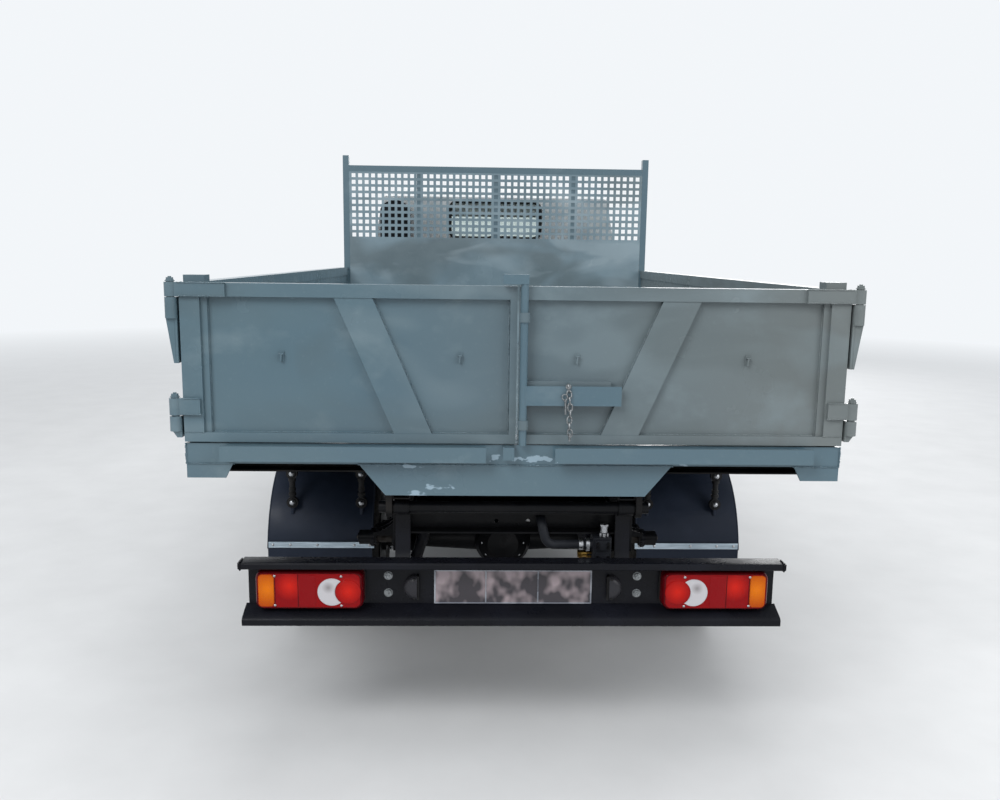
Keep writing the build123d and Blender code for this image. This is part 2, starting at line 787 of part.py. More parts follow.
# Front bumper with its returns beside the wheels
front_bumper_half = 890
front_bumper_z = (330, 558)
front_bumper_return_y = 2010
with BuildPart() as front_bumper:
    with BuildSketch(Plane.XY.offset(front_bumper_z[0])):
        Polygon(
            (-front_bumper_half, front_bumper_return_y),
            (-front_bumper_half, 2520),
            (-760, 2635),
            (-400, bumper_face_y),
            (400, bumper_face_y),
            (760, 2635),
            (front_bumper_half, 2520),
            (front_bumper_half, front_bumper_return_y),
            align=None,
        )
    extrude(amount=front_bumper_z[1] - front_bumper_z[0])
    long_edges = front_bumper.edges().filter_by(Axis.Z).group_by(Axis.Y)[1:]
    fillet([edge for group in long_edges for edge in group], 60)
    chamfer(front_bumper.faces().sort_by(Axis.Z)[-1].edges(), 12)
    with BuildSketch(Plane.XY.offset(front_bumper_z[0] - 1)):
        Polygon(
            (-front_bumper_half + 40, front_bumper_return_y - 1),
            (-front_bumper_half + 40, 2500),
            (-740, 2598),
            (-400, bumper_face_y - 40),
            (400, bumper_face_y - 40),
            (740, 2598),
            (front_bumper_half - 40, 2500),
            (front_bumper_half - 40, front_bumper_return_y - 1),
            align=None,
        )
    extrude(amount=front_bumper_z[1] - front_bumper_z[0] + 2, mode=Mode.SUBTRACT)
    for side in (-1, 1):
        tab_x = sorted((side * 350, side * (rail_outer - 1)))
        block(tab_x, (rail_front_y, bumper_face_y - 35), (460, 540))
save("front_bumper", front_bumper.part)

# Cab form: the side profile crossed with the front section, drawn in by an inset
roof_split_z = 2040
cab_front_y = 2605
front_wall_low = (2550, cab_floor_z)
rear_skirt_z = 640
windscreen_foot = (2560, 1330)
windscreen_head = (2330, 2010)
door_front_y = 2400
door_rear_y = 1330
door_low_z = 648
door_high_z = roof_split_z - door_gap


pillar_slope = (windscreen_foot[0] - windscreen_head[0]) / (windscreen_head[1] - windscreen_foot[1])
lower_corner = 110
upper_corner = 90
rear_corner = 40


def region(x_span, y_span, z_span):
    """A block that stands alone, used to part the cab's shell into its panels."""
    spans = (x_span, y_span, z_span)
    size = [high - low for low, high in spans]
    return Box(*size, mode=Mode.PRIVATE).moved(Location([sum(span) / 2 for span in spans]))


def cab_plan(height, front_y, radius, inset):
    """The cab seen from above, with rounded corners."""
    with BuildSketch(Plane.XY.offset(height)) as plan:
        with Locations((0, (cab_back_y + front_y) / 2)):
            Rectangle(2 * cab_half_width, front_y - cab_back_y)
        fillet(plan.vertices().group_by(Axis.Y)[0], rear_corner)
        fillet(plan.vertices().group_by(Axis.Y)[-1], radius)
        if inset:
            offset(amount=-inset, kind=Kind.INTERSECTION)
    return plan.sketch


def cab_plan_prism(inset):
    """Rounded corners all the way up: upright below the windscreen, leaning with it above."""
    with BuildPart(mode=Mode.PRIVATE) as prism:
        low = cab_plan(cab_floor_z - 50, cab_front_y, lower_corner, inset)
        extrude(low, amount=windscreen_foot[1] - cab_floor_z + 50)
        high = cab_plan(windscreen_foot[1], windscreen_foot[0], upper_corner, inset)
        extrude(high, amount=900, dir=(0, -pillar_slope, 1))
        rear = region((-cab_half_width + inset, cab_half_width - inset), (cab_back_y + inset, 1900), (windscreen_foot[1], 2200))
        add(rear)
    return prism.part


def cab_form(inset):
    """The cab's closed form, its faces drawn in by an inset."""
    with BuildPart(mode=Mode.PRIVATE) as form:
        with BuildSketch(Plane.YZ.offset(-cab_half_width)) as side_view:
            Polygon(
                (cab_back_y, rear_skirt_z),
                (1700, rear_skirt_z),
                (1750, cab_floor_z),
                front_wall_low,
                (2600, rear_skirt_z),
                (cab_front_y, 1000),
                windscreen_foot,
                windscreen_head,
                (2220, 2092),
                (1600, roof_z),
                (1040, 2105),
                (cab_back_y, 2040),
                align=None,
            )
            if inset:
                offset(amount=-inset, kind=Kind.INTERSECTION)
        extrude(side_view.sketch, amount=2 * cab_half_width)
        with BuildSketch(Plane((0, 2700, 0), x_dir=(1, 0, 0), z_dir=(0, -1, 0))) as front_view:
            Polygon(
                (-cab_half_width + 15, cab_floor_z),
                (cab_half_width - 15, cab_floor_z),
                (cab_half_width, 700),
                (cab_half_width, belt_z),
                (790, 1990),
                (755, 2060),
                (670, 2102),
                (0, roof_z),
                (-670, 2102),
                (-755, 2060),
                (-790, 1990),
                (-cab_half_width, belt_z),
                (-cab_half_width, 700),
                align=None,
            )
            if inset:
                offset(amount=-inset, kind=Kind.INTERSECTION)
        extrude(front_view.sketch, amount=1800, mode=Mode.INTERSECT)
        add(cab_plan_prism(inset), mode=Mode.INTERSECT)
    return form.part


wheel_arch = Cylinder(
    arch_radius,
    2 * cab_half_width,
    rotation=(0, 90, 0),
    mode=Mode.PRIVATE,
).moved(Location((0, front_axle_y, axle_z)))
outer_form = cab_form(0)
skin = 22
skin_form = cab_form(skin)
inner_form = cab_form(cab_wall)
inner_x = cab_half_width - cab_wall
under_room = Box(2 * inner_x - 30, 1510, 180, mode=Mode.PRIVATE).moved(Location((0, 1755, 590)))
cab_shell = outer_form - inner_form - under_room - wheel_arch


def outline_prism(points, radius, inset, x_half=1000):
    """A prism across the cab, with an outline in Y and Z and rounded corners."""
    with BuildPart(mode=Mode.PRIVATE) as prism:
        with BuildSketch(Plane.YZ.offset(-x_half)) as outline:
            Polygon(*points, align=None)
            if inset:
                offset(amount=-inset, kind=Kind.INTERSECTION)
            if radius:
                fillet(outline.vertices(), radius)
        extrude(outline.sketch, amount=2 * x_half)
    return prism.part



def pillar_y(z, back):
    """Station of a line parallel to the windscreen, a distance behind the door's front edge."""
    return door_front_y - pillar_slope * max(z - windscreen_foot[1], 0) - back


door_outline = [
    (door_front_y, door_low_z),
    (door_front_y, windscreen_foot[1]),
    (pillar_y(door_high_z, 0), door_high_z),
    (door_rear_y, door_high_z),
    (door_rear_y, door_low_z),
]
pillar_cut = [
    (door_front_y + door_gap, cab_floor_z - 10),
    (door_front_y + door_gap, windscreen_foot[1]),
    (pillar_y(roof_split_z + 10, -door_gap), roof_split_z + 10),
    (2750, roof_split_z + 10),
    (2750, cab_floor_z - 10),
]
window_low = 1400
window_high = 1960
side_window = [
    (pillar_y(window_low, 62), window_low),
    (pillar_y(window_high, 62), window_high),
    (door_rear_y + 62, window_high),
    (door_rear_y + 62, window_low),
]
screen_low = 1375
screen_high = 1975
screen_window = [(-770, screen_low), (770, screen_low), (672, screen_high), (-672, screen_high)]
rear_window_x = (-315, 315)
rear_window_z = (1760, 2010)


def screen_prism(inset):
    with BuildPart(mode=Mode.PRIVATE) as prism:
        with BuildSketch(Plane((0, 2750, 0), x_dir=(1, 0, 0), z_dir=(0, -1, 0))) as outline:
            Polygon(*screen_window, align=None)
            if inset:
                offset(amount=-inset, kind=Kind.INTERSECTION)
            fillet(outline.vertices(), 60)
        extrude(outline.sketch, amount=600)
    return prism.part


def rear_window_prism(inset):
    with BuildPart(mode=Mode.PRIVATE) as prism:
        with BuildSketch(Plane((0, 1050, 0), x_dir=(1, 0, 0), z_dir=(0, -1, 0))) as outline:
            with Locations((sum(rear_window_x) / 2, sum(rear_window_z) / 2)):
                RectangleRounded(
                    rear_window_x[1] - rear_window_x[0] - 2 * inset,
                    rear_window_z[1] - rear_window_z[0] - 2 * inset,
                    50,
                )
        extrude(outline.sketch, amount=150)
    return prism.part


wide = (-1000, 1000)
front_zone = outline_prism(pillar_cut, 0, 0)
headlamp_x = (520, 770)
headlamp_z = (800, 950)
tilt_arm_x = (250, 275)
door_hinge_x = cab_half_width + 8
door_hinge_y = door_front_y + door_gap / 2
door_hinge_z = (820, 1220)
door_pin_radius = 5
door_knuckle_radius = 8
with BuildPart() as cab_front:
    add(cab_shell & front_zone & region(wide, (2000, 2750), (500, windscreen_foot[1])))
    for side in (-1, 1):
        pocket_x = sorted((side * headlamp_x[0], side * headlamp_x[1]))
        block(pocket_x, (2575, 2650), headlamp_z, Mode.SUBTRACT)
        x = side * door_hinge_x
        for z in door_hinge_z:
            for z_span in ((z - 30, z - 11), (z + 11, z + 30)):
                rod((x, door_hinge_y, z_span[0]), (x, door_hinge_y, z_span[1]), door_knuckle_radius)
                leaf_x = sorted((side * (cab_half_width - 3), side * (cab_half_width + 5)))
                block(leaf_x, (door_hinge_y + 6, door_hinge_y + 46), z_span)
            rod((x, door_hinge_y, z - 30), (x, door_hinge_y, z + 30), door_pin_radius)
        notch_x = sorted((side * (tilt_arm_x[0] - 5), side * (tilt_arm_x[1] + 5)))
        block(notch_x, (2505, 2570), (580, 632), Mode.SUBTRACT)
    for slot in range(5):
        slot_z = 790 + 40 * slot
        block((-400, 400), (2540, 2650), (slot_z, slot_z + 22), Mode.SUBTRACT)
save("cab_front", cab_front.part)

with BuildPart() as headlamps:
    for side in (-1, 1):
        lamp_x = sorted((side * (headlamp_x[0] + seat_gap), side * (headlamp_x[1] - seat_gap)))
        block(lamp_x, (2575, 2608), (headlamp_z[0] + seat_gap, headlamp_z[1] - seat_gap))
    fillet(headlamps.edges().filter_by(Axis.Y), 20)
save("headlamps", headlamps.part)

with BuildPart() as cab_pillars:
    add(cab_shell & front_zone & region(wide, (2000, 2750), (windscreen_foot[1], roof_split_z)))
    add(screen_prism(0), mode=Mode.SUBTRACT)
save("cab_pillars", cab_pillars.part)

with BuildPart() as cab_roof:
    add(cab_shell & region(wide, (900, 2750), (roof_split_z, 2200)))
save("cab_roof", cab_roof.part)

with BuildPart() as cab_back:
    add(cab_shell & region(wide, (900, cab_back_y + cab_wall), (500, roof_split_z)))
    add(rear_window_prism(0), mode=Mode.SUBTRACT)
save("cab_back", cab_back.part)

with BuildPart() as cab_side_panels:
    add(cab_shell & region(wide, (cab_back_y + cab_wall, door_rear_y - door_gap), (500, roof_split_z)))
save("cab_side_panels", cab_side_panels.part)

glass_depth = (12, 18)
glass_band = cab_form(glass_depth[0]) - cab_form(glass_depth[1])
with BuildPart() as cab_glass:
    add(glass_band & screen_prism(seat_gap))
    add(glass_band & rear_window_prism(seat_gap))
save("cab_glass", cab_glass.part)

# Cab floor with footwell, step, seat deck, sills and tilt arms
floor_wall = 25
footwell_z = 620
step_y = 1937
floor_front_y = 2510
with BuildPart() as cab_floor:
    plate_x(
        [
            (floor_front_y, footwell_z),
            (floor_front_y, footwell_z + floor_wall),
            (step_y + floor_wall, footwell_z + floor_wall),
            (step_y + floor_wall, seat_deck_z + floor_wall),
            (cab_back_y + cab_wall, seat_deck_z + floor_wall),
            (cab_back_y + cab_wall, seat_deck_z),
            (step_y, seat_deck_z),
            (step_y, footwell_z),
        ],
        (-inner_x + 17, inner_x - 17),
    )
    panel_y = (cab_back_y + cab_wall, door_rear_y - door_gap)
    block((-inner_x, inner_x), panel_y, (seat_deck_z, seat_deck_z + floor_wall))
    sill_y = (step_y, door_front_y + door_gap)
    for side in (-1, 1):
        sill_x = sorted((side * (inner_x - 40), side * 1000))
        add(outer_form & region(sill_x, sill_y, (500, door_low_z - door_gap)))
        arm_x = sorted((side * tilt_arm_x[0], side * tilt_arm_x[1]))
        plate_x(
            [
                (2400, footwell_z + 5),
                (2500, footwell_z + 5),
                (cab_hinge_y + 32, cab_hinge_z + 20),
                (cab_hinge_y - 20, cab_hinge_z - 32),
            ],
            arm_x,
        )
        rod((arm_x[0], cab_hinge_y, cab_hinge_z), (arm_x[1], cab_hinge_y, cab_hinge_z), 38)
        rod(
            (arm_x[0] - 1, cab_hinge_y, cab_hinge_z),
            (arm_x[1] + 1, cab_hinge_y, cab_hinge_z),
            pivot_radius + running_gap,
            Mode.SUBTRACT,
        )
save("cab_floor", cab_floor.part)

# Cab doors with their glass and mirrors
door_step = 18
mirror_x = (960, 1120)
mirror_z = (1400, 1735)
mirror_y = (2300, 2345)
for word, side in stations:
    half_space = region(sorted((side * 500, side * 1000)), (1000, 2700), (500, 2200))
    with BuildPart() as cab_door:
        add((outer_form - skin_form) & outline_prism(door_outline, 0, 0) & half_space - wheel_arch)
        inner_part = (skin_form - inner_form) & outline_prism(door_outline, 0, door_step) & half_space
        add(inner_part - wheel_arch)
        add(outline_prism(side_window, 50, 0), mode=Mode.SUBTRACT)
        x = side * door_hinge_x
        for z in door_hinge_z:
            rod((x, door_hinge_y, z - 10), (x, door_hinge_y, z + 10), door_knuckle_radius)
            leaf_x = sorted((side * (cab_half_width - 3), side * (cab_half_width + 5)))
            block(leaf_x, (door_hinge_y - 46, door_hinge_y - 2), (z - 10, z + 10))
            pin_ends = [(x, door_hinge_y, z + way * 11) for way in (-1, 1)]
            rod(*pin_ends, door_pin_radius + running_gap, Mode.SUBTRACT)
        for z, inner in ((1440, 880), (1700, 835)):
            rod((side * inner, pillar_y(z, 31), z), (side * (mirror_x[0] + 20), mirror_y[0] + 15, z), 9)
        with BuildSketch(Plane.XY.offset(mirror_z[0])) as mirror_plan:
            with Locations((side * sum(mirror_x) / 2, sum(mirror_y) / 2)):
                RectangleRounded(mirror_x[1] - mirror_x[0], mirror_y[1] - mirror_y[0], 18)
        extrude(mirror_plan.sketch, amount=mirror_z[1] - mirror_z[0])
    save(f"cab_door_{word}", cab_door.part)
    with BuildPart() as door_glass:
        add(glass_band & outline_prism(side_window, 50, seat_gap) & half_space)
    save(f"door_glass_{word}", door_glass.part)

# Dashboard with the steering column and wheel
wheel_centre = (-430, 2090, 1190)
column_foot = (-430, 2340, 1060)
wheel_rim_radius = 205
with BuildPart() as dashboard:
    add(inner_form & region((-inner_x + 25, inner_x - 25), (2290, 2750), (1020, 1290)))
    chamfer(dashboard.edges().filter_by(Axis.X).sort_by(Axis.Y)[:2], 45)
    rod(column_foot, wheel_centre, 26)
    way = (Vector(*wheel_centre) - Vector(*column_foot)).normalized()
    with Locations(Plane(wheel_centre, x_dir=(1, 0, 0), z_dir=way)):
        Torus(wheel_rim_radius, 14)
        Cylinder(60, 24)
        Box(2 * wheel_rim_radius, 36, 14)
save("dashboard", dashboard.part)

# Seats on the deck
# Columns: x from, x to
seat_table = ((-690, -190), (-130, 690))
with BuildPart() as seats:
    for seat_span in seat_table:
        plate_x(
            [
                (1190, seat_deck_z + floor_wall),
                (1800, seat_deck_z + floor_wall),
                (1830, seat_deck_z + 175),
                (1280, seat_deck_z + 150),
                (1150, 1600),
                (1040, 1590),
                (1110, seat_deck_z + floor_wall + 60),
            ],
            seat_span,
        )
    fillet(seats.edges().filter_by(Axis.X).group_by(Axis.Z)[-1], 30)
save("seats", seats.part)

# Air intake tower on the cab's back
with BuildPart() as air_intake:
    with BuildSketch(Plane((0, cab_back_y, 0), x_dir=(1, 0, 0), z_dir=(0, -1, 0))) as tower:
        Polygon((-790, 1000), (-590, 1000), (-590, 1950), (-790, 1950), align=None)
        with Locations((-690, 1930)):
            Ellipse(100, 78)
    extrude(tower.sketch, amount=100)
save("air_intake", air_intake.part)

# Bed beams along the truck, with pivot ears and the cylinder's ears
bed_rear_y = sill_front_y
ear_radius = 34
ear_x = (bed_beam_outer, bed_beam_outer + 20)
cylinder_ear_x = (34, 46)
with BuildPart() as bed_beams:
    block((bed_beam_inner, bed_beam_outer), (bed_rear_y, bed_front_y), (beam_bottom, beam_top))
    block(
        (bed_beam_inner + 5, bed_beam_outer - 5),
        (bed_rear_y - 1, bed_front_y + 1),
        (beam_bottom + 5, beam_top - 5),
        Mode.SUBTRACT,
    )
    rod((ear_x[0], pivot_y, pivot_z), (ear_x[1], pivot_y, pivot_z), ear_radius)
    plate_x(
        [
            (pivot_y - ear_radius, pivot_z),
            (pivot_y + ear_radius, pivot_z),
            (pivot_y + 80, beam_top),
            (bed_rear_y, beam_top),
            (pivot_y - ear_radius, pivot_z + 20),
        ],
        ear_x,
    )
    rod(
        (ear_x[0] - 1, pivot_y, pivot_z),
        (ear_x[1] + 1, pivot_y, pivot_z),
        pivot_radius + running_gap,
        Mode.SUBTRACT,
    )
    plate_x(
        [
            (cylinder_y - 70, floor_top - floor_plate),
            (cylinder_y - 34, rod_eye_z - 30),
            (cylinder_y + 34, rod_eye_z - 30),
            (cylinder_y + 70, floor_top - floor_plate),
        ],
        cylinder_ear_x,
    )
    rod(
        (cylinder_ear_x[0] - 1, cylinder_y, rod_eye_z),
        (cylinder_ear_x[1] + 1, cylinder_y, rod_eye_z),
        16,
        Mode.SUBTRACT,
    )
    mirror(about=Plane.YZ)
save("bed_beams", bed_beams.part)

# Cross beams under the floor
cross_beam_half = 1040
cross_beam_wall = 5
with BuildPart() as bed_cross_beams:
    for beam in range(cross_beam_count):
        y = cross_beam_start_y + beam * cross_beam_pitch
        z_span = (beam_top, floor_top - floor_plate)
        y_span = (y - cross_beam_width / 2, y + cross_beam_width / 2)
        block((-cross_beam_half, cross_beam_half), y_span, z_span)
        block(
            (-cross_beam_half - 1, cross_beam_half + 1),
            (y_span[0] - 1, y_span[1] - cross_beam_wall),
            (z_span[0] + cross_beam_wall, z_span[1] - cross_beam_wall),
            Mode.SUBTRACT,
        )
save("bed_cross_beams", bed_cross_beams.part)

# Floor sheet between the sides, notched round the rear posts
floor_z = (floor_top - floor_plate, floor_top)
side_sheet_x = (1006, 1010)
rear_post_x = 985
rear_post_y = (door_face_y + door_depth + 5, -2510)
with BuildPart() as bed_floor:
    block((-side_sheet_x[0], side_sheet_x[0]), (bed_rear_y, headboard_y), floor_z)
    for side in (-1, 1):
        notch_x = sorted((side * rear_post_x, side * (side_sheet_x[0] + 1)))
        block(notch_x, (bed_rear_y - 1, rear_post_y[1]), (floor_z[0] - 1, floor_top + 1), Mode.SUBTRACT)
save("bed_floor", bed_floor.part)

# Bed sides: sheet, rails, ribs, corner posts and the doors' gudgeons
side_top = floor_top + side_height
rib_pitch = 400
rib_width = 60
rib_start_y = -2290
rib_count = 8
post_top = 1572
gudgeon_radius = 18
# Columns: strap z span, strap inner end, gudgeon z span, gusset foot
strap_table = (
    ((1507, 1551), 907, (1440, 1505), 1300),
    ((1137, 1190), 995, (1085, 1132), 1064),
)
with BuildPart() as bed_sides:
    block(side_sheet_x, (rear_post_y[1], headboard_y), (floor_z[0], side_top - 10))
    block((1000, bed_half_width), (rear_post_y[1], headboard_y), (side_top - 50, side_top))
    block((side_sheet_x[1], bed_half_width), (rear_post_y[1], headboard_y), (floor_z[0], floor_top + 40))
    block((cross_beam_half, bed_half_width), (bed_rear_y, bed_front_y), (beam_top, floor_top + 10))
    for rib in range(rib_count):
        y = rib_start_y + rib * rib_pitch
        block((side_sheet_x[1], bed_half_width - 5), (y - rib_width / 2, y + rib_width / 2), (floor_top + 40, side_top - 50))
    block((rear_post_x, bed_half_width), rear_post_y, (floor_top, post_top))
    block((rear_post_x, bed_half_width), (bed_rear_y, rear_post_y[1]), floor_z)
    for strap_z, strap_end, boss_span, gusset_low in strap_table:
        rod((hinge_x, door_face_y, boss_span[0]), (hinge_x, door_face_y, boss_span[1]), gudgeon_radius)
        rod((hinge_x, door_face_y, boss_span[0]), (hinge_x, door_face_y, strap_z[1] + 8), hinge_pin_radius)
        with BuildSketch(Plane.XY.offset(gusset_low)) as foot:
            Polygon(
                (hinge_x - 18, door_face_y - 4),
                (hinge_x - 8, door_face_y - 4),
                (hinge_x - 8, door_face_y + 120),
                (bed_half_width, door_face_y + 120),
                (bed_half_width, door_face_y + 56),
                (hinge_x - 18, door_face_y + 48),
                align=None,
            )
        extrude(foot.sketch, amount=boss_span[1] - gusset_low)
        plate_y(
            [
                (hinge_x - 10, gusset_low),
                (hinge_x - 4, gusset_low),
                (hinge_x + 17, boss_span[0] + 10),
                (hinge_x + 17, boss_span[1]),
                (hinge_x - 10, boss_span[1]),
            ],
            (door_face_y - 5, door_face_y + 5),
        )
    mirror(about=Plane.YZ)
save("bed_sides", bed_sides.part)

# Headboard: posts, rails and stiffeners, with a perforated sheet
stiffener_x = (-515, 5, 525)
post_inner = headboard_half_width - post_width
rail_z = (2187, 2227)
sheet_wall = 4
with BuildPart() as headboard_frame:
    block((-cross_beam_half, cross_beam_half), (headboard_y, bed_front_y), floor_z)
    for side in (-1, 1):
        post_x = sorted((side * post_inner, side * headboard_half_width))
        block(post_x, (headboard_y, bed_front_y), (floor_top, headboard_top))
    block((-post_inner, post_inner), (headboard_y, headboard_y + 40), rail_z)
    for x in stiffener_x:
        block((x - 20, x + 20), (headboard_y + sheet_wall, headboard_y + 44), (floor_top, rail_z[0]))
    block((-post_inner, post_inner), (headboard_y + sheet_wall, headboard_y + 30), (1690, 1725))
save("headboard_frame", headboard_frame.part)

hole_size = 26
hole_pitch = 43.6
hole_columns = 45
hole_rows = 10
hole_middle_z = 1966
with BuildPart() as headboard_panel:
    with BuildSketch(Plane((0, headboard_y + sheet_wall, 0), x_dir=(1, 0, 0), z_dir=(0, -1, 0))) as sheet:
        with Locations((0, (floor_top + rail_z[0]) / 2)):
            Rectangle(2 * post_inner, rail_z[0] - floor_top)
        with Locations((0, hole_middle_z)):
            with GridLocations(hole_pitch, hole_pitch, hole_columns, hole_rows):
                Rectangle(hole_size, hole_size, mode=Mode.SUBTRACT)
    extrude(sheet.sketch, amount=sheet_wall)
save("headboard_panel", headboard_panel.part)

# Rear sill with its skirt, corner plates, ramp bars and latch keeper
sill_z = (978, 1044)
sill_rear_y = -2612
skirt_wall = 6
skirt_y = (sill_rear_y, sill_rear_y + skirt_wall)
skirt_foot = (420, 876)
skirt_head = (510, 985)
ramp_bar_y = (-2660, -2648)
ramp_bar_z = (995, 1044)
# Columns: x from, x to
ramp_bars = ((-933, -98), (121, 948))
with BuildPart() as rear_sill:
    block((-bed_half_width, bed_half_width), (sill_rear_y, sill_front_y), sill_z)
    block((-1044, 1044), (sill_rear_y + 6, sill_front_y + 1), (sill_z[0] + 6, sill_z[1] - 6), Mode.SUBTRACT)
    foot_x, foot_z = skirt_foot
    head_x, head_z = skirt_head
    plate_y([(-foot_x, foot_z), (foot_x, foot_z), (head_x, head_z), (-head_x, head_z)], skirt_y)
    block((-foot_x, foot_x), (sill_rear_y, sill_rear_y + 50), (foot_z, foot_z + skirt_wall))
    for side in (-1, 1):
        corner = [(side * 927, 931), (side * 1050, 931), (side * 1050, 985), (side * 900, 985)]
        plate_y(corner, skirt_y)
    for low_x, high_x in ramp_bars:
        block((low_x, high_x), ramp_bar_y, ramp_bar_z)
        for step in range(4):
            x = low_x + 40 + step * (high_x - low_x - 80) / 3
            block((x - 15, x + 15), (ramp_bar_y[1], sill_rear_y), (1005, 1035))
    block((-44, -8), (-2650, sill_rear_y), (1002, 1043))
save("rear_sill", rear_sill.part)

# Tailboard doors with rails, stiles, slanted brace, sheet and hinge straps
lock_x = 18
lock_y = -2636
lock_radius = 12
door_sheet_y = (-2598, -2594)
brace_points = [(577, 1512), (457, 1512), (270, 1078), (390, 1078)]
meeting_edge = 4
guide_table = ((1100, 1130), (1440, 1470))
for word, side in stations:
    with BuildPart() as rear_door:
        depth = (door_face_y, door_face_y + door_depth)
        spans = (
            ((meeting_edge, bed_half_width), depth, (1508, door_top)),
            ((meeting_edge, bed_half_width), depth, (door_bottom, 1080)),
            ((988, bed_half_width), depth, (door_bottom, door_top)),
            ((967, 988), (door_face_y + 10, depth[1] - 10), (1070, 1515)),
            ((meeting_edge, 26), depth, (door_bottom, door_top)),
            ((20, 990), door_sheet_y, (1070, 1515)),
        )
        for x_span, y_span, z_span in spans:
            block(sorted((side * x_span[0], side * x_span[1])), y_span, z_span)
        plate_y([(side * x, z) for x, z in brace_points], (door_face_y + 3, door_sheet_y[0] + 1))
        for strap_z, strap_end, boss_span, gusset_low in strap_table:
            strap_x = sorted((side * strap_end, side * hinge_x))
            block(strap_x, (door_face_y - 10, door_face_y), strap_z)
            pin = (side * hinge_x, door_face_y)
            rod((*pin, strap_z[0]), (*pin, strap_z[1]), gudgeon_radius)
            block(
                sorted((side * (hinge_x - 60), side * hinge_x)),
                (door_face_y - 10, door_face_y),
                strap_z,
            )
            rod((*pin, strap_z[0] - 1), (*pin, strap_z[1] + 1), hinge_pin_radius + running_gap, Mode.SUBTRACT)
        if side > 0:
            for z_span in guide_table:
                rod((lock_x, lock_y, z_span[0]), (lock_x, lock_y, z_span[1]), 17)
                block((lock_x - 4, 35), (lock_y, door_face_y), z_span)
                rod(
                    (lock_x, lock_y, z_span[0] - 1),
                    (lock_x, lock_y, z_span[1] + 1),
                    lock_radius + running_gap,
                    Mode.SUBTRACT,
                )
            block((26, 297), (door_face_y, door_face_y + 23), (1180, 1253))
    save(f"rear_door_{word}", rear_door.part)

# Lock bar with its hook and handle
with BuildPart() as lock_bar:
    rod((lock_x, lock_y, sill_z[1] + 4), (lock_x, lock_y, 1587), lock_radius)
    block((-50, 30), (lock_y - 13, -2600), (1557, 1587))
    block((lock_x, 328), (lock_y - 9, lock_y + 1), (1178, 1240))
save("lock_bar", lock_bar.part)

# Tip cylinder: barrel on trunnions and three sliding stages
stage_gap = 0.5
# Columns: name, outer radius, bore radius, foot, head
barrel_radius = 75
barrel_z = (450, 900)
stage_table = (
    ("cylinder_stage_1", 66, 56.5, 465, 912),
    ("cylinder_stage_2", 56, 46.5, 475, 924),
)
trunnion_x = 112
with BuildPart() as cylinder_barrel:
    rod((0, cylinder_y, barrel_z[0]), (0, cylinder_y, barrel_z[1]), barrel_radius)
    rod((-trunnion_x, cylinder_y, trunnion_z), (trunnion_x, cylinder_y, trunnion_z), pivot_radius)
    rod((0, cylinder_y, 463), (0, cylinder_y, 901), 66 + stage_gap, Mode.SUBTRACT)
save("cylinder_barrel", cylinder_barrel.part)
for name, radius, bore, foot, head in stage_table:
    with BuildPart() as stage:
        rod((0, cylinder_y, foot), (0, cylinder_y, head), radius)
        rod((0, cylinder_y, foot + 8), (0, cylinder_y, head + 1), bore, Mode.SUBTRACT)
    save(name, stage.part)
with BuildPart() as cylinder_rod:
    rod((0, cylinder_y, 485), (0, cylinder_y, rod_eye_z - 85), 46)
    rod((0, cylinder_y, rod_eye_z - 90), (0, cylinder_y, rod_eye_z - 25), 28)
    rod((-28, cylinder_y, rod_eye_z), (28, cylinder_y, rod_eye_z), 30)
    rod((-29, cylinder_y, rod_eye_z), (29, cylinder_y, rod_eye_z), 16, Mode.SUBTRACT)
save("cylinder_rod", cylinder_rod.part)
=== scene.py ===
"""The looks of a light dump truck: paint, rubber, lamps, fasteners, welds and trim."""

from math import atan2, cos, hypot, pi, radians, sin, sqrt

import bmesh
import bpy
from mathutils import Matrix, Vector, noise


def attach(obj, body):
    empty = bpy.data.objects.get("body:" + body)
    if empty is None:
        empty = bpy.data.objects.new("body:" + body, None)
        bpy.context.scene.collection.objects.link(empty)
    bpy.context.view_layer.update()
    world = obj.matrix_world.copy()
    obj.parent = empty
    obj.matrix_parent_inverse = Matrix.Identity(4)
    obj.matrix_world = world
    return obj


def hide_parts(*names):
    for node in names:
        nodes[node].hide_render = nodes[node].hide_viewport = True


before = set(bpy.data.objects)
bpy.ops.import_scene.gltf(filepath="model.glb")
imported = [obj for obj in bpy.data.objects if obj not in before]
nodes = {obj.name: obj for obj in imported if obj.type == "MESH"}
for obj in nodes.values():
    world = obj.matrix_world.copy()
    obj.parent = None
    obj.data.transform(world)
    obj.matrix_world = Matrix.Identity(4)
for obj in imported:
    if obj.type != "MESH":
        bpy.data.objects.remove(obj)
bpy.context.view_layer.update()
MM = 0.001


def linked_object(name, data):
    """An object that holds some data, in the scene."""
    made = bpy.data.objects.new(name, data)
    bpy.context.collection.objects.link(made)
    return made


# Shader and geometry trees
def fill_socket(tree, socket, value):
    """Links a socket to another one, or gives it a value."""
    if isinstance(value, bpy.types.NodeSocket):
        tree.links.new(value, socket)
    else:
        socket.default_value = value


def add_node(tree, kind, inputs=None, **settings):
    """A node with its settings, and its inputs linked or given a value."""
    made = tree.nodes.new(kind)
    for key, value in settings.items():
        setattr(made, key, value)
    for key, value in (inputs or {}).items():
        fill_socket(tree, made.inputs[key], value)
    return made


def noise_field(tree, scale, detail=3.0, stretch=(1, 1, 1), roughness=0.55, distortion=0.0):
    """A noise over the object's own coordinates, as a 0 to 1 value."""
    place = add_node(tree, "ShaderNodeTexCoord").outputs["Object"]
    spread = add_node(tree, "ShaderNodeMapping", {"Vector": place, "Scale": stretch}).outputs["Vector"]
    inputs = {"Vector": spread, "Scale": scale, "Detail": detail}
    inputs |= {"Roughness": roughness, "Distortion": distortion}
    return add_node(tree, "ShaderNodeTexNoise", inputs).outputs["Fac"]


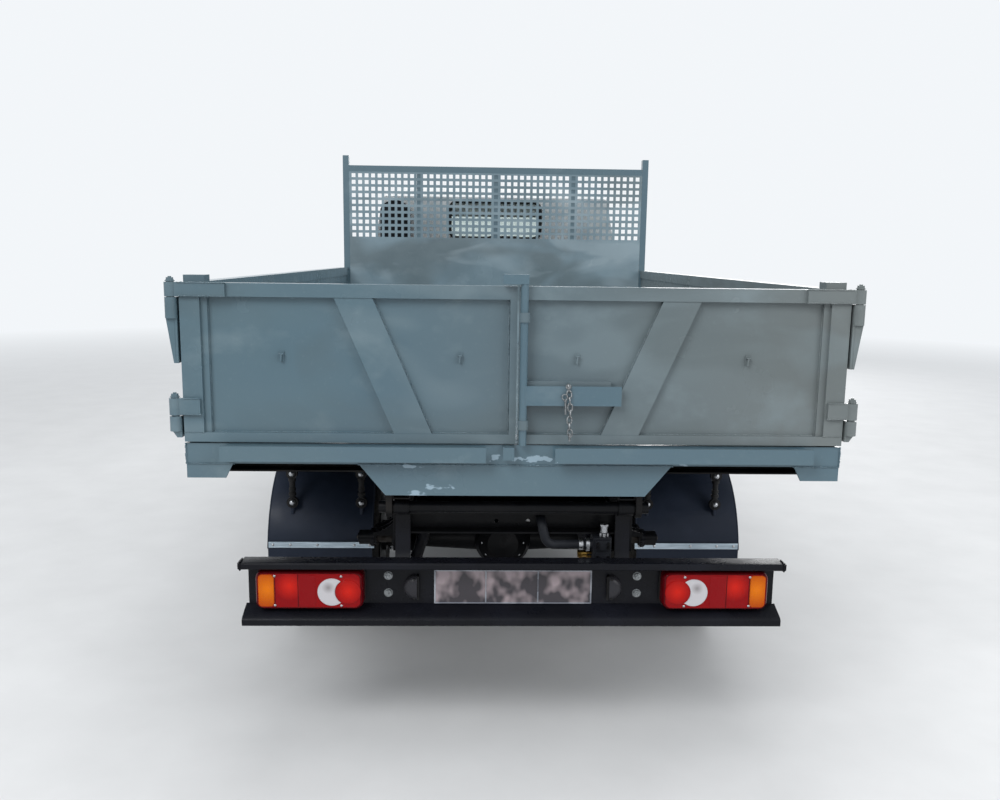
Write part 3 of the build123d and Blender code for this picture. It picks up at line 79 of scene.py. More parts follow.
def ramp(tree, value, low, high, start=0.0, stop=1.0):
    """Maps a value's range low to high onto start to stop, held at the ends."""
    inputs = {"Value": value, "From Min": low, "From Max": high, "To Min": start, "To Max": stop}
    return add_node(tree, "ShaderNodeMapRange", inputs, clamp=True).outputs["Result"]


def mixed(tree, share, first, second):
    """Blends two colours by a share."""
    return add_node(tree, "ShaderNodeMix", {0: share, 6: first, 7: second}, data_type="RGBA").outputs[2]


def calculated(tree, operation, *values):
    return add_node(tree, "ShaderNodeMath", dict(enumerate(values)), operation=operation).outputs[0]


def colour(red, green, blue):
    """A colour from 0 to 255 screen values, as linear light."""
    parts = []
    for value in (red, green, blue):
        share = value / 255
        parts.append(share / 12.92 if share <= 0.04045 else ((share + 0.055) / 1.055) ** 2.4)
    return (*parts, 1.0)


def bumped(tree, height, strength, distance):
    inputs = {"Height": height, "Strength": strength, "Distance": distance}
    return add_node(tree, "ShaderNodeBump", inputs).outputs["Normal"]


def new_finish(name):
    finish = bpy.data.materials.new(name)
    finish.use_nodes = True
    tree = finish.node_tree
    return finish, tree, tree.nodes["Principled BSDF"]


def set_shader(tree, shader, **inputs):
    """Sets the shader's sockets, with underscores for the spaces in their names."""
    for key, value in inputs.items():
        fill_socket(tree, shader.inputs[key.replace("_", " ")], value)


def object_parts(tree):
    place = add_node(tree, "ShaderNodeTexCoord").outputs["Object"]
    return add_node(tree, "ShaderNodeSeparateXYZ", {"Vector": place}).outputs


def distance_from(tree, parts, x, z, reach_x, reach_z):
    """How far a point is from a spot on an upright plane, as a share of the spot's reach."""
    aside = calculated(tree, "DIVIDE", calculated(tree, "SUBTRACT", parts["X"], x), reach_x)
    over = calculated(tree, "DIVIDE", calculated(tree, "SUBTRACT", parts["Z"], z), reach_z)
    squares = [calculated(tree, "POWER", share, 2.0) for share in (aside, over)]
    return calculated(tree, "SQRT", calculated(tree, "ADD", *squares))


def gloss_paint(name, base, shade, pale, dent=0.0, swirl=0.0, lit_side=None, primer=None, spots=()):
    """Brushed-on gloss enamel: a cloudy tone of painted reflection, swirls of painted reflection of what its
    dents mirror, a painted lit side, and thin places.
    """
    finish, tree, shader = new_finish(name)
    parts = object_parts(tree)
    # Painted reflection: a soft cloud between the base tone and a second tone, as a dented sheet mirrors its
    # surroundings
    mirrored_cloud = ramp(tree, noise_field(tree, 1.7, 3, (1, 1, 1.3)), 0.36, 0.64)
    tone = mixed(tree, mirrored_cloud, base, shade)
    # Painted light: the paint turns paler and more neutral towards the right, where it mirrors the sky
    if lit_side:
        tone = mixed(tree, ramp(tree, parts["X"], -0.5, 1.0, 0.0, 0.8), tone, lit_side)
    worn = ramp(tree, noise_field(tree, 3.4, 6, (1, 1, 1.4)), 0.56, 0.74, 0.0, 0.4)
    tone = mixed(tree, worn, tone, pale)
    # Swirls of painted reflection: the ground and a pale tone, as the dents mirror them
    if swirl:
        for scale, low, target in ((1.5, 0.5, MIRRORED_GROUND), (1.9, 0.52, pale)):
            field = noise_field(tree, scale, 2.5, (1, 1, 2.2), 0.5, 0.7)
            tone = mixed(tree, ramp(tree, field, low, low + 0.12, 0.0, swirl), tone, target)
    if primer:
        patch = ramp(tree, noise_field(tree, 6.0, 8, (1, 1, 2.2)), 0.68, 0.7)
        for x, z, reach_x, reach_z in spots:
            ragged = calculated(tree, "MULTIPLY", noise_field(tree, 26, 8, (1, 1, 1.8)), 4.0)
            away = calculated(tree, "ADD", distance_from(tree, parts, x, z, reach_x, reach_z), ragged)
            patch = calculated(tree, "MAXIMUM", patch, ramp(tree, away, 2.5, 2.62, 1.0, 0.0))
        tone = mixed(tree, calculated(tree, "MULTIPLY", patch, 0.8), tone, primer)
    dust = ramp(tree, noise_field(tree, 70, 5), 0.6, 0.8, 0.0, 0.12)
    tone = mixed(tree, dust, tone, pale)
    sheen = ramp(tree, noise_field(tree, 4.0, 4), 0.3, 0.7, 0.16, 0.3)
    orange_peel = calculated(tree, "MULTIPLY", noise_field(tree, 300, 2), 0.025)
    waves = calculated(tree, "ADD", noise_field(tree, 5.5, 2, (1, 1, 0.8)), orange_peel)
    set_shader(tree, shader, Base_Color=tone, Roughness=sheen, Normal=bumped(tree, waves, 0.5, 0.003 + dent))
    set_shader(tree, shader, Coat_Weight=0.25, Coat_Roughness=0.08, Specular_IOR_Level=0.35)
    return finish


def satin_black(name, base, pale, rough=(0.38, 0.6), grain=180, depth=0.0008):
    """Chassis paint or moulded plastic: satin black with dust in the hollows of its grain."""
    finish, tree, shader = new_finish(name)
    dust = ramp(tree, noise_field(tree, 6, 5), 0.45, 0.75, 0.0, 0.55)
    tone = mixed(tree, dust, base, pale)
    gloss = ramp(tree, noise_field(tree, 14, 4), 0.3, 0.7, *rough)
    normal = bumped(tree, noise_field(tree, grain, 3), 0.5, depth)
    set_shader(tree, shader, Base_Color=tone, Roughness=gloss, Normal=normal, Specular_IOR_Level=0.14)
    return finish


def bare_metal(name, base, shade, rough=(0.25, 0.5), spots=120, stretch=(1, 1, 1), depth=0.0003):
    """Plated or raw metal with crystal spangle, grey oxide and brushed roughness."""
    finish, tree, shader = new_finish(name)
    spangle = ramp(tree, noise_field(tree, spots, 3, stretch), 0.35, 0.65)
    tone = mixed(tree, spangle, base, shade)
    gloss = ramp(tree, noise_field(tree, spots * 0.6, 4, stretch), 0.3, 0.7, *rough)
    normal = bumped(tree, noise_field(tree, spots * 2, 2, stretch), 0.4, depth)
    set_shader(tree, shader, Base_Color=tone, Roughness=gloss, Normal=normal, Metallic=1.0)
    return finish


def lens_plastic(name, base, pitch, depth=0.0012, rough=0.12, core=None, bulbs=(), reach=0.05):
    """Moulded lamp plastic: prisms as a fine lattice, and a core tone round each bulb, a painted glow where
    it is brighter.
    """
    finish, tree, shader = new_finish(name)
    parts = object_parts(tree)
    across = calculated(tree, "SINE", calculated(tree, "MULTIPLY", parts["X"], 2 * pi / pitch))
    upward = calculated(tree, "SINE", calculated(tree, "MULTIPLY", parts["Z"], 2 * pi / pitch))
    lattice = calculated(tree, "MULTIPLY", across, upward)
    shade = tuple(value * 0.6 for value in base[:3]) + (1.0,)
    tone = mixed(tree, ramp(tree, lattice, -1, 1, 0.0, 0.5), base, shade)
    # A core tone round each bulb: a brighter painted glow on the red and amber lenses, and a darker spot on
    # the reversing lens
    for bulb_x, bulb_z in bulbs:
        for way in (-1, 1):
            away = distance_from(tree, parts, way * bulb_x, bulb_z, reach, reach)
            tone = mixed(tree, ramp(tree, away, 0.1, 1.0, 0.6, 0.0), tone, core)
    set_shader(tree, shader, Base_Color=tone, Roughness=rough, Normal=bumped(tree, lattice, 0.35, depth))
    set_shader(tree, shader, Coat_Weight=0.05, Coat_Roughness=0.04, Specular_IOR_Level=0.12)
    return finish


def rubber(name, base, pale, rough=(0.6, 0.85), grain=260):
    """Rubber with road dust and a fine skin."""
    finish, tree, shader = new_finish(name)
    dust = ramp(tree, noise_field(tree, 11, 6), 0.42, 0.72, 0.0, 0.6)
    tone = mixed(tree, dust, base, pale)
    gloss = ramp(tree, noise_field(tree, 25, 3), 0.3, 0.7, *rough)
    normal = bumped(tree, noise_field(tree, grain, 3), 0.4, 0.0006)
    set_shader(tree, shader, Base_Color=tone, Roughness=gloss, Normal=normal, Specular_IOR_Level=0.2)
    return finish


def clear_glass(name, tint, rough=0.02):
    finish, tree, shader = new_finish(name)
    smear = ramp(tree, noise_field(tree, 5, 4), 0.4, 0.8, rough, rough + 0.08)
    set_shader(tree, shader, Base_Color=tint, Roughness=smear, IOR=1.45, Transmission_Weight=0.92)
    return finish


def smoked_cover(name, base, pale):
    """A clear cover over a bare plate: smoky, with soft blotches of painted reflection of what it mirrors."""
    finish, tree, shader = new_finish(name)
    reflection_blotch = ramp(tree, noise_field(tree, 14, 2, (1, 1, 0.8)), 0.46, 0.66)
    tone = mixed(tree, reflection_blotch, base, pale)
    normal = bumped(tree, noise_field(tree, 30, 2), 0.6, 0.002)
    set_shader(tree, shader, Base_Color=tone, Roughness=0.12, Normal=normal)
    set_shader(tree, shader, Coat_Weight=0.3, Coat_Roughness=0.05, Specular_IOR_Level=0.3)
    return finish


def woven_cloth(name, base, pale):
    """Seat cloth: a fine two-way weave with flecks."""
    finish, tree, shader = new_finish(name)
    parts = object_parts(tree)
    thread_turn = 2 * pi / 0.004
    warp = calculated(tree, "SINE", calculated(tree, "MULTIPLY", parts["X"], thread_turn))
    rise = calculated(tree, "ADD", parts["Y"], parts["Z"])
    weft = calculated(tree, "SINE", calculated(tree, "MULTIPLY", rise, thread_turn))
    weave = calculated(tree, "MULTIPLY", warp, weft)
    fleck = ramp(tree, noise_field(tree, 90, 5), 0.55, 0.7)
    tone = mixed(tree, ramp(tree, weave, -1, 1), base, mixed(tree, fleck, base, pale))
    set_shader(tree, shader, Base_Color=tone, Roughness=0.9, Normal=bumped(tree, weave, 0.5, 0.0008))
    set_shader(tree, shader, Sheen_Weight=0.3, Sheen_Roughness=0.5)
    return finish


BED_BLUE_GREY = colour(80, 103, 115)
BED_SHADE = colour(84, 106, 116)
BED_PALE = colour(128, 144, 150)
# Painted light: the tone the bed's paint turns to on its right side, where it mirrors the sky
BED_LIT_SIDE = colour(112, 116, 114)
# Painted reflection of the ground, for the swirls in the dents
MIRRORED_GROUND = colour(76, 84, 84)
PRIMER = colour(150, 172, 186)
# Bare spots on the sill: place along X and Z, and reach in both, in metres
BARE_SPOTS = ((0.06, 1.0, 0.08, 0.014), (-0.07, 1.0, 0.022, 0.014), (-0.33, 0.972, 0.05, 0.01))
bed_tones = (BED_BLUE_GREY, BED_SHADE, BED_PALE)
head_tones = (colour(122, 142, 152), colour(104, 124, 134), colour(152, 168, 176))
finishes = {
    "bed_paint": gloss_paint("bed enamel", *bed_tones, 0.007, 0.2, BED_LIT_SIDE),
    "head_paint": gloss_paint("headboard enamel", *head_tones, 0.009, 0.45),
    "bed_frame": gloss_paint("bed frame enamel", *bed_tones, 0.001),
    "sill_paint": gloss_paint("sill enamel", *bed_tones, 0.001, 0.0, None, PRIMER, BARE_SPOTS),
    "chassis": satin_black("chassis black", colour(10, 11, 14), colour(26, 26, 28), (0.25, 0.45)),
    "under_bed": satin_black("dusty black", colour(18, 18, 19), colour(56, 52, 48), (0.5, 0.8)),
    "bumper": satin_black("bumper black", colour(16, 17, 22), colour(26, 28, 36), (0.22, 0.36), 240),
    "guard": satin_black("guard plastic", colour(30, 37, 50), colour(42, 50, 65), (0.32, 0.5), 500, 0.0003),
    "moulding": satin_black(
        "moulded black", colour(24, 26, 31), colour(52, 55, 60), (0.45, 0.65), 400, 0.0006
    ),
    "spring": bare_metal("spring steel", colour(60, 58, 56), colour(40, 36, 33), (0.5, 0.75), 60),
    "zinc": bare_metal("zinc plate", colour(190, 192, 195), colour(140, 142, 146), (0.25, 0.45), 300),
    "aluminium": bare_metal(
        "strip aluminium", colour(178, 192, 202), colour(142, 156, 166), (0.3, 0.5), 90, (0.1, 1, 1)
    ),
    "brass": bare_metal("brass", colour(196, 158, 84), colour(140, 108, 52), (0.3, 0.5), 200),
    "chrome": bare_metal("hard chrome", colour(215, 217, 220), colour(195, 197, 200), (0.08, 0.18), 80),
    "iron": bare_metal("cast iron", colour(92, 90, 88), colour(58, 54, 50), (0.55, 0.8), 140, depth=0.001),
    "wheel_paint": gloss_paint(
        "wheel enamel", colour(186, 188, 190), colour(170, 172, 175), colour(120, 116, 108)
    ),
    "chain_steel": bare_metal("chain steel", colour(158, 162, 164), colour(92, 94, 96), (0.35, 0.6), 260),
    "cab_white": gloss_paint(
        "cab enamel", colour(232, 234, 234), colour(226, 229, 230), colour(205, 204, 198)
    ),
    "tyre": rubber("tyre rubber", colour(30, 30, 31), colour(88, 84, 78)),
    "seal": rubber("seal rubber", colour(20, 20, 21), colour(48, 48, 48), (0.45, 0.65)),
    "glass": clear_glass("window glass", (0.86, 0.93, 0.91, 1.0)),
    # The red and amber lenses carry a painted glow round their bulbs
    "lamp_red": lens_plastic(
        "red lens", colour(138, 4, 10), 0.006, core=colour(226, 40, 22), bulbs=((0.546, 0.545), (0.74, 0.56))
    ),
    "lamp_reflex": lens_plastic("reflex lens", colour(138, 6, 14), 0.004, 0.002),
    "lamp_amber": lens_plastic(
        "amber lens", colour(178, 70, 3), 0.007, core=colour(236, 132, 14), bulbs=((0.812, 0.55),), reach=0.06
    ),
    "lamp_skirt": lens_plastic("lens skirt", colour(84, 3, 11), 0.006, 0.0006),
    "lamp_white": lens_plastic(
        "reversing lens",
        colour(196, 194, 198),
        0.004,
        0.0006,
        core=colour(96, 88, 88),
        bulbs=((0.612, 0.556),),
        reach=0.022,
    ),
    "lamp_dark": lens_plastic("dark lens", colour(50, 50, 54), 0.009, 0.0008, 0.2),
    # The plate covers carry soft blotches of painted reflection
    "plate_edge": smoked_cover("plate edge", colour(118, 122, 132), colour(168, 172, 180)),
    "plate_smoke": smoked_cover("plate cover", colour(52, 48, 54), colour(158, 144, 148)),
    "bare_plate": lens_plastic("bare plate", colour(198, 200, 200), 0.5, 0.0002, 0.3),
    "lamp_clear": lens_plastic("clear lens", colour(150, 154, 160), 0.007),
    "fluted_glass": clear_glass("fluted glass", (0.95, 0.97, 1.0, 1.0), 0.03),
    "mirror": bare_metal("mirror silver", colour(225, 228, 230), colour(220, 224, 227), (0.02, 0.05), 8),
    "cloth": woven_cloth("seat cloth", colour(52, 56, 66), colour(96, 102, 116)),
}

# Which finish each CAD node carries
node_finishes = {
    "chassis": "frame_rails frame_crossmembers subframe_rails rear_axle front_axle spring_hangers "
    "knuckle_left knuckle_right tie_rod prop_shaft battery_box fuel_tank",
    "bumper": "rear_bumper shock_absorbers",
    "spring": "leaf_springs exhaust",
    "guard": "mudguards",
    "moulding": "front_bumper air_intake dashboard valve_block",
    "iron": "engine_block cylinder_barrel",
    "chrome": "cylinder_stage_1 cylinder_stage_2 cylinder_rod",
    "under_bed": "bed_beams bed_cross_beams",
    "bed_paint": "bed_floor bed_sides rear_door_left rear_door_right",
    "head_paint": "headboard_panel",
    "bed_frame": "headboard_frame lock_bar",
    "sill_paint": "rear_sill",
    "cab_white": "cab_front cab_pillars cab_roof cab_back cab_side_panels cab_door_left cab_door_right "
    "cab_floor",
    "glass": "cab_glass door_glass_left door_glass_right",
    "wheel_paint": "front_left_wheel front_right_wheel rear_left_wheels rear_right_wheels",
    "cloth": "seats",
    "lamp_red": "tail_lamps",
    "lamp_clear": "headlamps number_plate",
    "tyre": "front_left_tyre front_right_tyre rear_left_tyres rear_right_tyres",
}
for finish_name, names in node_finishes.items():
    for node_name in names.split():
        mesh = nodes[node_name].data
        mesh.materials.clear()
        mesh.materials.append(finishes[finish_name])

# Camera fitted to the photograph
CAMERA_PLACE = Vector((-0.137, -5.4162, 1.6453))
CAMERA_YAW, CAMERA_PITCH, CAMERA_ROLL = 0.0294, 0.1608, 0.0131
SENSOR_WIDTH, FOCAL_PIXELS, PHOTO_WIDTH = 36, 894.04, 1000
ahead = Vector((sin(CAMERA_YAW) * cos(CAMERA_PITCH), cos(CAMERA_YAW) * cos(CAMERA_PITCH), -sin(CAMERA_PITCH)))
level = Vector((cos(CAMERA_YAW), -sin(CAMERA_YAW), 0))
above = level.cross(ahead)
right = level * cos(CAMERA_ROLL) + above * sin(CAMERA_ROLL)
top = above * cos(CAMERA_ROLL) - level * sin(CAMERA_ROLL)
camera_data = bpy.data.cameras.new("camera")
camera_data.sensor_width = SENSOR_WIDTH
camera_data.lens = SENSOR_WIDTH * FOCAL_PIXELS / PHOTO_WIDTH
camera = linked_object("camera", camera_data)
camera.matrix_world = Matrix.Translation(CAMERA_PLACE) @ Matrix((right, top, -ahead)).transposed().to_4x4()
bpy.context.scene.camera = camera
bpy.context.scene.view_settings.view_transform = "Standard"


# Floor, backdrop and light
BACKDROP = (0.94, 0.97, 1.0, 1.0)
BACKDROP_STRENGTH = 0.95
FLOOR_REACH = 60
FADE_START, FADE_END = 4.5, 16.0


def stage_floor():
    """A pale floor that fades into the backdrop beyond the truck, and keeps its shadow."""
    floor_mesh = bpy.data.meshes.new("floor")
    corners = [(x * FLOOR_REACH, y * FLOOR_REACH, 0) for x, y in ((-1, -1), (1, -1), (1, 1), (-1, 1))]
    floor_mesh.from_pydata(corners, [], [(0, 1, 2, 3)])
    floor = linked_object("floor", floor_mesh)
    finish, tree, shader = new_finish("studio floor")
    grain = ramp(tree, noise_field(tree, 3, 5), 0.3, 0.7)
    tone = mixed(tree, grain, colour(206, 207, 208), colour(212, 213, 214))
    set_shader(tree, shader, Base_Color=tone, Roughness=0.85)
    place = add_node(tree, "ShaderNodeTexCoord").outputs["Object"]
    away = add_node(tree, "ShaderNodeVectorMath", {0: place}, operation="LENGTH").outputs["Value"]
    seen = add_node(tree, "ShaderNodeLightPath").outputs["Is Camera Ray"]
    share = calculated(tree, "MULTIPLY", ramp(tree, away, FADE_START, FADE_END), seen)
    glow = add_node(tree, "ShaderNodeEmission", {"Color": BACKDROP, "Strength": BACKDROP_STRENGTH})
    inputs = {0: share, 1: shader.outputs["BSDF"], 2: glow.outputs["Emission"]}
    both = add_node(tree, "ShaderNodeMixShader", inputs).outputs["Shader"]
    tree.links.new(both, tree.nodes["Material Output"].inputs["Surface"])
    floor_mesh.materials.append(finish)


def studio_light():
    world = bpy.data.worlds.new("studio")
    world.use_nodes = True
    tree = world.node_tree
    background = tree.nodes["Background"]
    path = add_node(tree, "ShaderNodeLightPath").outputs
    seen = calculated(tree, "MAXIMUM", path["Is Camera Ray"], path["Is Glossy Ray"])
    seen = calculated(tree, "MAXIMUM", seen, path["Is Transmission Ray"])
    strength = ramp(tree, seen, 0, 1, 0.55, BACKDROP_STRENGTH)
    tree.links.new(strength, background.inputs["Strength"])
    background.inputs["Color"].default_value = BACKDROP
    bpy.context.scene.world = world
    # Columns: name, place, size, power, target
    lamp_table = (
        ("key", (-4.0, -7.5, 6.5), 4.0, 420, (0, -2, 0.8)),
        ("fill", (5.5, -6.0, 4.0), 4.0, 200, (0, -2, 0.8)),
        ("top", (0, 0, 8.5), 6.0, 320, (0, 0, 0)),
        ("front", (3.0, 8.0, 5.0), 5.0, 320, (0, 1, 1)),
    )
    for name, place, size, power, target in lamp_table:
        lamp_data = bpy.data.lights.new(name, "AREA")
        lamp_data.size = size
        lamp_data.energy = power
        lamp = linked_object(name, lamp_data)
        lamp.location = place
        lamp.rotation_euler = (Vector(target) - Vector(place)).to_track_quat("-Z", "Y").to_euler()


stage_floor()
studio_light()


# Pieces from meshes
SMOOTH_BELOW = radians(38)


def as_piece(name, mesh, finish, body):
    """An object that holds a mesh, with its finish, riding on a body."""
    mesh.materials.clear()
    mesh.materials.append(finishes[finish])
    piece = linked_object(name, mesh)
    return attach(piece, body)


def from_bmesh(name, form, smooth=True):
    bmesh.ops.recalc_face_normals(form, faces=form.faces)
    mesh = bpy.data.meshes.new(name)
    form.to_mesh(mesh)
    form.free()
    if smooth:
        mesh.shade_smooth()
        mesh.set_sharp_from_angle(angle=SMOOTH_BELOW)
    return mesh


def solid(name, finish, body, parts):
    """A piece from a list of parts, each a shaping function with its values."""
    form = bmesh.new()
    for shape, *values in parts:
        shape(form, *values)
    return as_piece(name, from_bmesh(name, form), finish, body)


def bevelled(form, edges, edge):
    bmesh.ops.bevel(form, geom=list(edges), offset=edge * MM, segments=2, affect="EDGES", clamp_overlap=True)


def add_block(form, x_span, y_span, z_span, edge=0.0):
    """A block between two corners in millimetres, with rounded edges, added to a form."""
    spans = [sorted(span) for span in (x_span, y_span, z_span)]
    size = [(high - low) * MM for low, high in spans]
    middle = Vector([(high + low) / 2 * MM for low, high in spans])
    place = Matrix.Translation(middle) @ Matrix.Diagonal((*size, 1))
    made = bmesh.ops.create_cube(form, size=1, matrix=place)
    if edge:
        bevelled(form, {line for vert in made["verts"] for line in vert.link_edges}, edge)


def add_bar(form, start, end, radius, sides=16, end_radius=None):
    """A round bar between two points in millimetres."""
    first, last = Vector(start) * MM, Vector(end) * MM
    way = last - first
    turn = way.to_track_quat("Z", "Y").to_matrix().to_4x4()
    bmesh.ops.create_cone(
        form,
        cap_ends=True,
        segments=sides,
        radius1=radius * MM,
        radius2=(radius if end_radius is None else end_radius) * MM,
        depth=way.length,
        matrix=Matrix.Translation((first + last) / 2) @ turn,
    )


def ring_of(form, points):
    return [form.verts.new(Vector(point) * MM) for point in points]


def join_rings(form, rings, closed=True):
    """Faces from each ring of vertices to the next."""
    faces = []
    for first, second in zip(rings, rings[1:]):
        count = len(first)
        for index in range(count if closed else count - 1):
            after = (index + 1) % count
            faces.append(form.faces.new((first[index], first[after], second[after], second[index])))
    return faces


def add_outline(form, points, place, depth, edge=0.0):
    """A flat outline in millimetres, set in a plane by a function, with a depth square to it."""
    near = ring_of(form, [place(u, v, 0) for u, v in points])
    far = ring_of(form, [place(u, v, depth) for u, v in points])
    faces = [form.faces.new(near), form.faces.new(far[::-1])]
    faces += join_rings(form, [near, far])
    if edge:
        edges = {line for face in faces[:2] for line in face.edges}
        bmesh.ops.recalc_face_normals(form, faces=faces)
        bevelled(form, edges, edge)


def rounded_outline(x_span, z_span, radius, steps=5):
    """A rectangle with rounded corners, as points in order."""
    (low_x, high_x), (low_z, high_z) = x_span, z_span
    points = []
    corners = ((high_x, high_z, 0), (low_x, high_z, 90), (low_x, low_z, 180), (high_x, low_z, 270))
    for x, z, start in corners:
        centre_x = x - radius if x == high_x else x + radius
        centre_z = z - radius if z == high_z else z + radius
        for step in range(steps + 1):
            turn = radians(start + 90 * step / steps)
            points.append((centre_x + radius * cos(turn), centre_z + radius * sin(turn)))
    return points


def circle_points(centre_x, centre_z, radius, start=0, stop=360, steps=32):
    """Points round a centre: a full circle without its last point, or an arc with both ends."""
    count = steps if stop - start == 360 else steps + 1
    turns = [radians(start + (stop - start) * step / steps) for step in range(count)]
    return [(centre_x + radius * cos(turn), centre_z + radius * sin(turn)) for turn in turns]


def mirrored(side, low, high):
    """A span on the right side, put on the side asked for, low end first."""
    return sorted((side * low, side * high))


def facing_rear(y):
    """A plane across the truck at a station, with depth towards the rear."""
    return lambda u, v, depth: (u, y - depth, v)


def facing_front(y):
    return lambda u, v, depth: (u, y + depth, v)


def facing_side(x, side):
    """An upright plane along the truck at a station, with depth outwards."""
    return lambda u, v, depth: (x + side * depth, u, v)


def running_across(x):
    """An upright plane along the truck, with depth from a station towards the right."""
    return facing_side(x, 1)


def stacked(name, rings, finish, body, ends=(0, -1)):
    """A shell through rings of points, closed by a face at the ends that are named."""
    form = bmesh.new()
    rings = [ring_of(form, ring) for ring in rings]
    join_rings(form, rings)
    for end in ends:
        form.faces.new(rings[end])
    return as_piece(name, from_bmesh(name, form), finish, body)


def lathe_mesh(name, profile, centre, axis="X", steps=64, side=1):
    """A profile of (along, radius) points in millimetres, turned about the X or Y axis through a centre."""
    form = bmesh.new()
    rings = []
    for along, radius in profile:
        ring = []
        for step in range(steps):
            turn = 2 * pi * step / steps
            across, upward = radius * cos(turn), radius * sin(turn)
            offset = (side * along, across, upward) if axis == "X" else (across, side * along, upward)
            ring.append(Vector(centre) + Vector(offset))
        rings.append(ring_of(form, ring))
    join_rings(form, rings)
    for end in (0, -1):
        if profile[end][1] > 0.5:
            form.faces.new(rings[end])
    bmesh.ops.remove_doubles(form, verts=form.verts, dist=0.00002)
    return from_bmesh(name, form)


def mesh_of(holder):
    """The final mesh of a holder object, which is removed."""
    bpy.context.view_layer.update()
    graph = bpy.context.evaluated_depsgraph_get()
    mesh = bpy.data.meshes.new_from_object(holder.evaluated_get(graph))
    mesh.name = holder.name
    bpy.data.objects.remove(holder)
    mesh.shade_smooth()
    return mesh


def tube(name, points, radius, finish, body, closed=False):
    """A round tube through points in millimetres: a closed loop, or an open smooth path."""
    curve = bpy.data.curves.new(name, "CURVE")
    curve.dimensions = "3D"
    curve.bevel_depth = radius * MM
    curve.bevel_resolution = 4
    curve.use_fill_caps = True
    curve.resolution_u = 6
    spline = curve.splines.new("POLY" if closed else "NURBS")
    spline.points.add(len(points) - 1)
    for point, place in zip(spline.points, points):
        point.co = (*(Vector(place) * MM), 1)
    spline.use_cyclic_u = closed
    if not closed:
        spline.order_u = 3
        spline.use_endpoint_u = True
    return as_piece(name, mesh_of(linked_object(name, curve)), finish, body)


# Geometry Nodes trees for what repeats
SOCKET_KINDS = {float: "NodeSocketFloat", int: "NodeSocketInt"}


def new_tree(name, sizes):
    """A geometry tree with named sizes at their starting values, and a finish."""
    tree = bpy.data.node_groups.new(name, "GeometryNodeTree")
    sockets = tree.interface
    sockets.new_socket("Geometry", in_out="INPUT", socket_type="NodeSocketGeometry")
    for label, value in sizes.items():
        socket = sockets.new_socket(label, in_out="INPUT", socket_type=SOCKET_KINDS[type(value)])
        socket.default_value = value
    sockets.new_socket("Finish", in_out="INPUT", socket_type="NodeSocketMaterial")
    sockets.new_socket("Geometry", in_out="OUTPUT", socket_type="NodeSocketGeometry")
    return tree, tree.nodes.new("NodeGroupInput").outputs, tree.nodes.new("NodeGroupOutput")


def copies_tree(tree, given, target, points, shape, **turns):
    """Ends a tree with its shape at every point, as real mesh with its finish."""
    inputs = {"Points": points, "Instance": shape, **turns}
    placed = add_node(tree, "GeometryNodeInstanceOnPoints", inputs).outputs["Instances"]
    real = add_node(tree, "GeometryNodeRealizeInstances", {"Geometry": placed}).outputs["Geometry"]
    finished = add_node(tree, "GeometryNodeSetMaterial", {"Geometry": real, "Material": given["Finish"]})
    tree.links.new(finished.outputs["Geometry"], target.inputs["Geometry"])
    return tree


def grown(name, tree, start, finish, body, smooth=40, **sizes):
    """The mesh that a tree makes from a starting mesh, as a plain piece on a body."""
    holder = linked_object(name, start)
    modifier = holder.modifiers.new(name, "NODES")
    modifier.node_group = tree
    values = {key.replace("_", " "): value for key, value in sizes.items()}
    values["Finish"] = finishes[finish]
    for item in tree.interface.items_tree:
        if item.in_out == "INPUT" and item.name in values:
            modifier[item.identifier] = values[item.name]
    mesh = mesh_of(holder)
    mesh.set_sharp_from_angle(angle=radians(smooth))
    return as_piece(name, mesh, finish, body)


def dotted(name, tree, places, finish, body, **sizes):
    """A tree's shape at places in millimetres, each with the way it faces."""
    mesh = bpy.data.meshes.new(name)
    mesh.from_pydata([Vector(place) * MM for place, way in places], [], [])
    facing = mesh.attributes.new("facing", "FLOAT_VECTOR", "POINT")
    for item, (place, way) in zip(facing.data, places):
        item.vector = way
    return grown(name, tree, mesh, finish, body, **sizes)


def lined(name, tree, paths, finish, body, **sizes):
    """A tree's shape along open paths of points in millimetres."""
    mesh = bpy.data.meshes.new(name)
    verts, edges = [], []
    for path in paths:
        start = len(verts)
        verts += [Vector(place) * MM for place in path]
        edges += [(start + step, start + step + 1) for step in range(len(path) - 1)]
    mesh.from_pydata(verts, edges, [])
    return grown(name, tree, mesh, finish, body, **sizes)


def aligned(tree, axis, way):
    """The rotation that brings an axis onto a way."""
    inputs = {"Vector": way}
    return add_node(tree, "FunctionNodeAlignRotationToVector", inputs, axis=axis).outputs["Rotation"]


def turned_to_face(tree):
    facing = add_node(tree, "GeometryNodeInputNamedAttribute", {"Name": "facing"}, data_type="FLOAT_VECTOR")
    return aligned(tree, "Z", facing.outputs["Attribute"])


def as_rotation(tree, euler):
    return add_node(tree, "FunctionNodeEulerToRotation", {"Euler": euler}).outputs["Rotation"]


def turned_further(tree, rotation, euler):
    """A rotation followed by another about its own axes."""
    inputs = {"Rotation": rotation, "Rotate By": as_rotation(tree, euler)}
    return add_node(tree, "FunctionNodeRotateRotation", inputs, rotation_space="LOCAL").outputs["Rotation"]


def random_vector(tree, low, high, seed):
    inputs = {"Min": low, "Max": high, "Seed": seed}
    return add_node(tree, "FunctionNodeRandomValue", inputs, data_type="FLOAT_VECTOR").outputs["Value"]


def spaced_along(tree, mesh, pitch):
    """Points at an even pitch along the paths of a mesh."""
    line = add_node(tree, "GeometryNodeMeshToCurve", {"Mesh": mesh}).outputs["Curve"]
    inputs = {"Curve": line, "Length": pitch}
    return add_node(tree, "GeometryNodeResampleCurve", inputs, mode="LENGTH").outputs["Curve"]


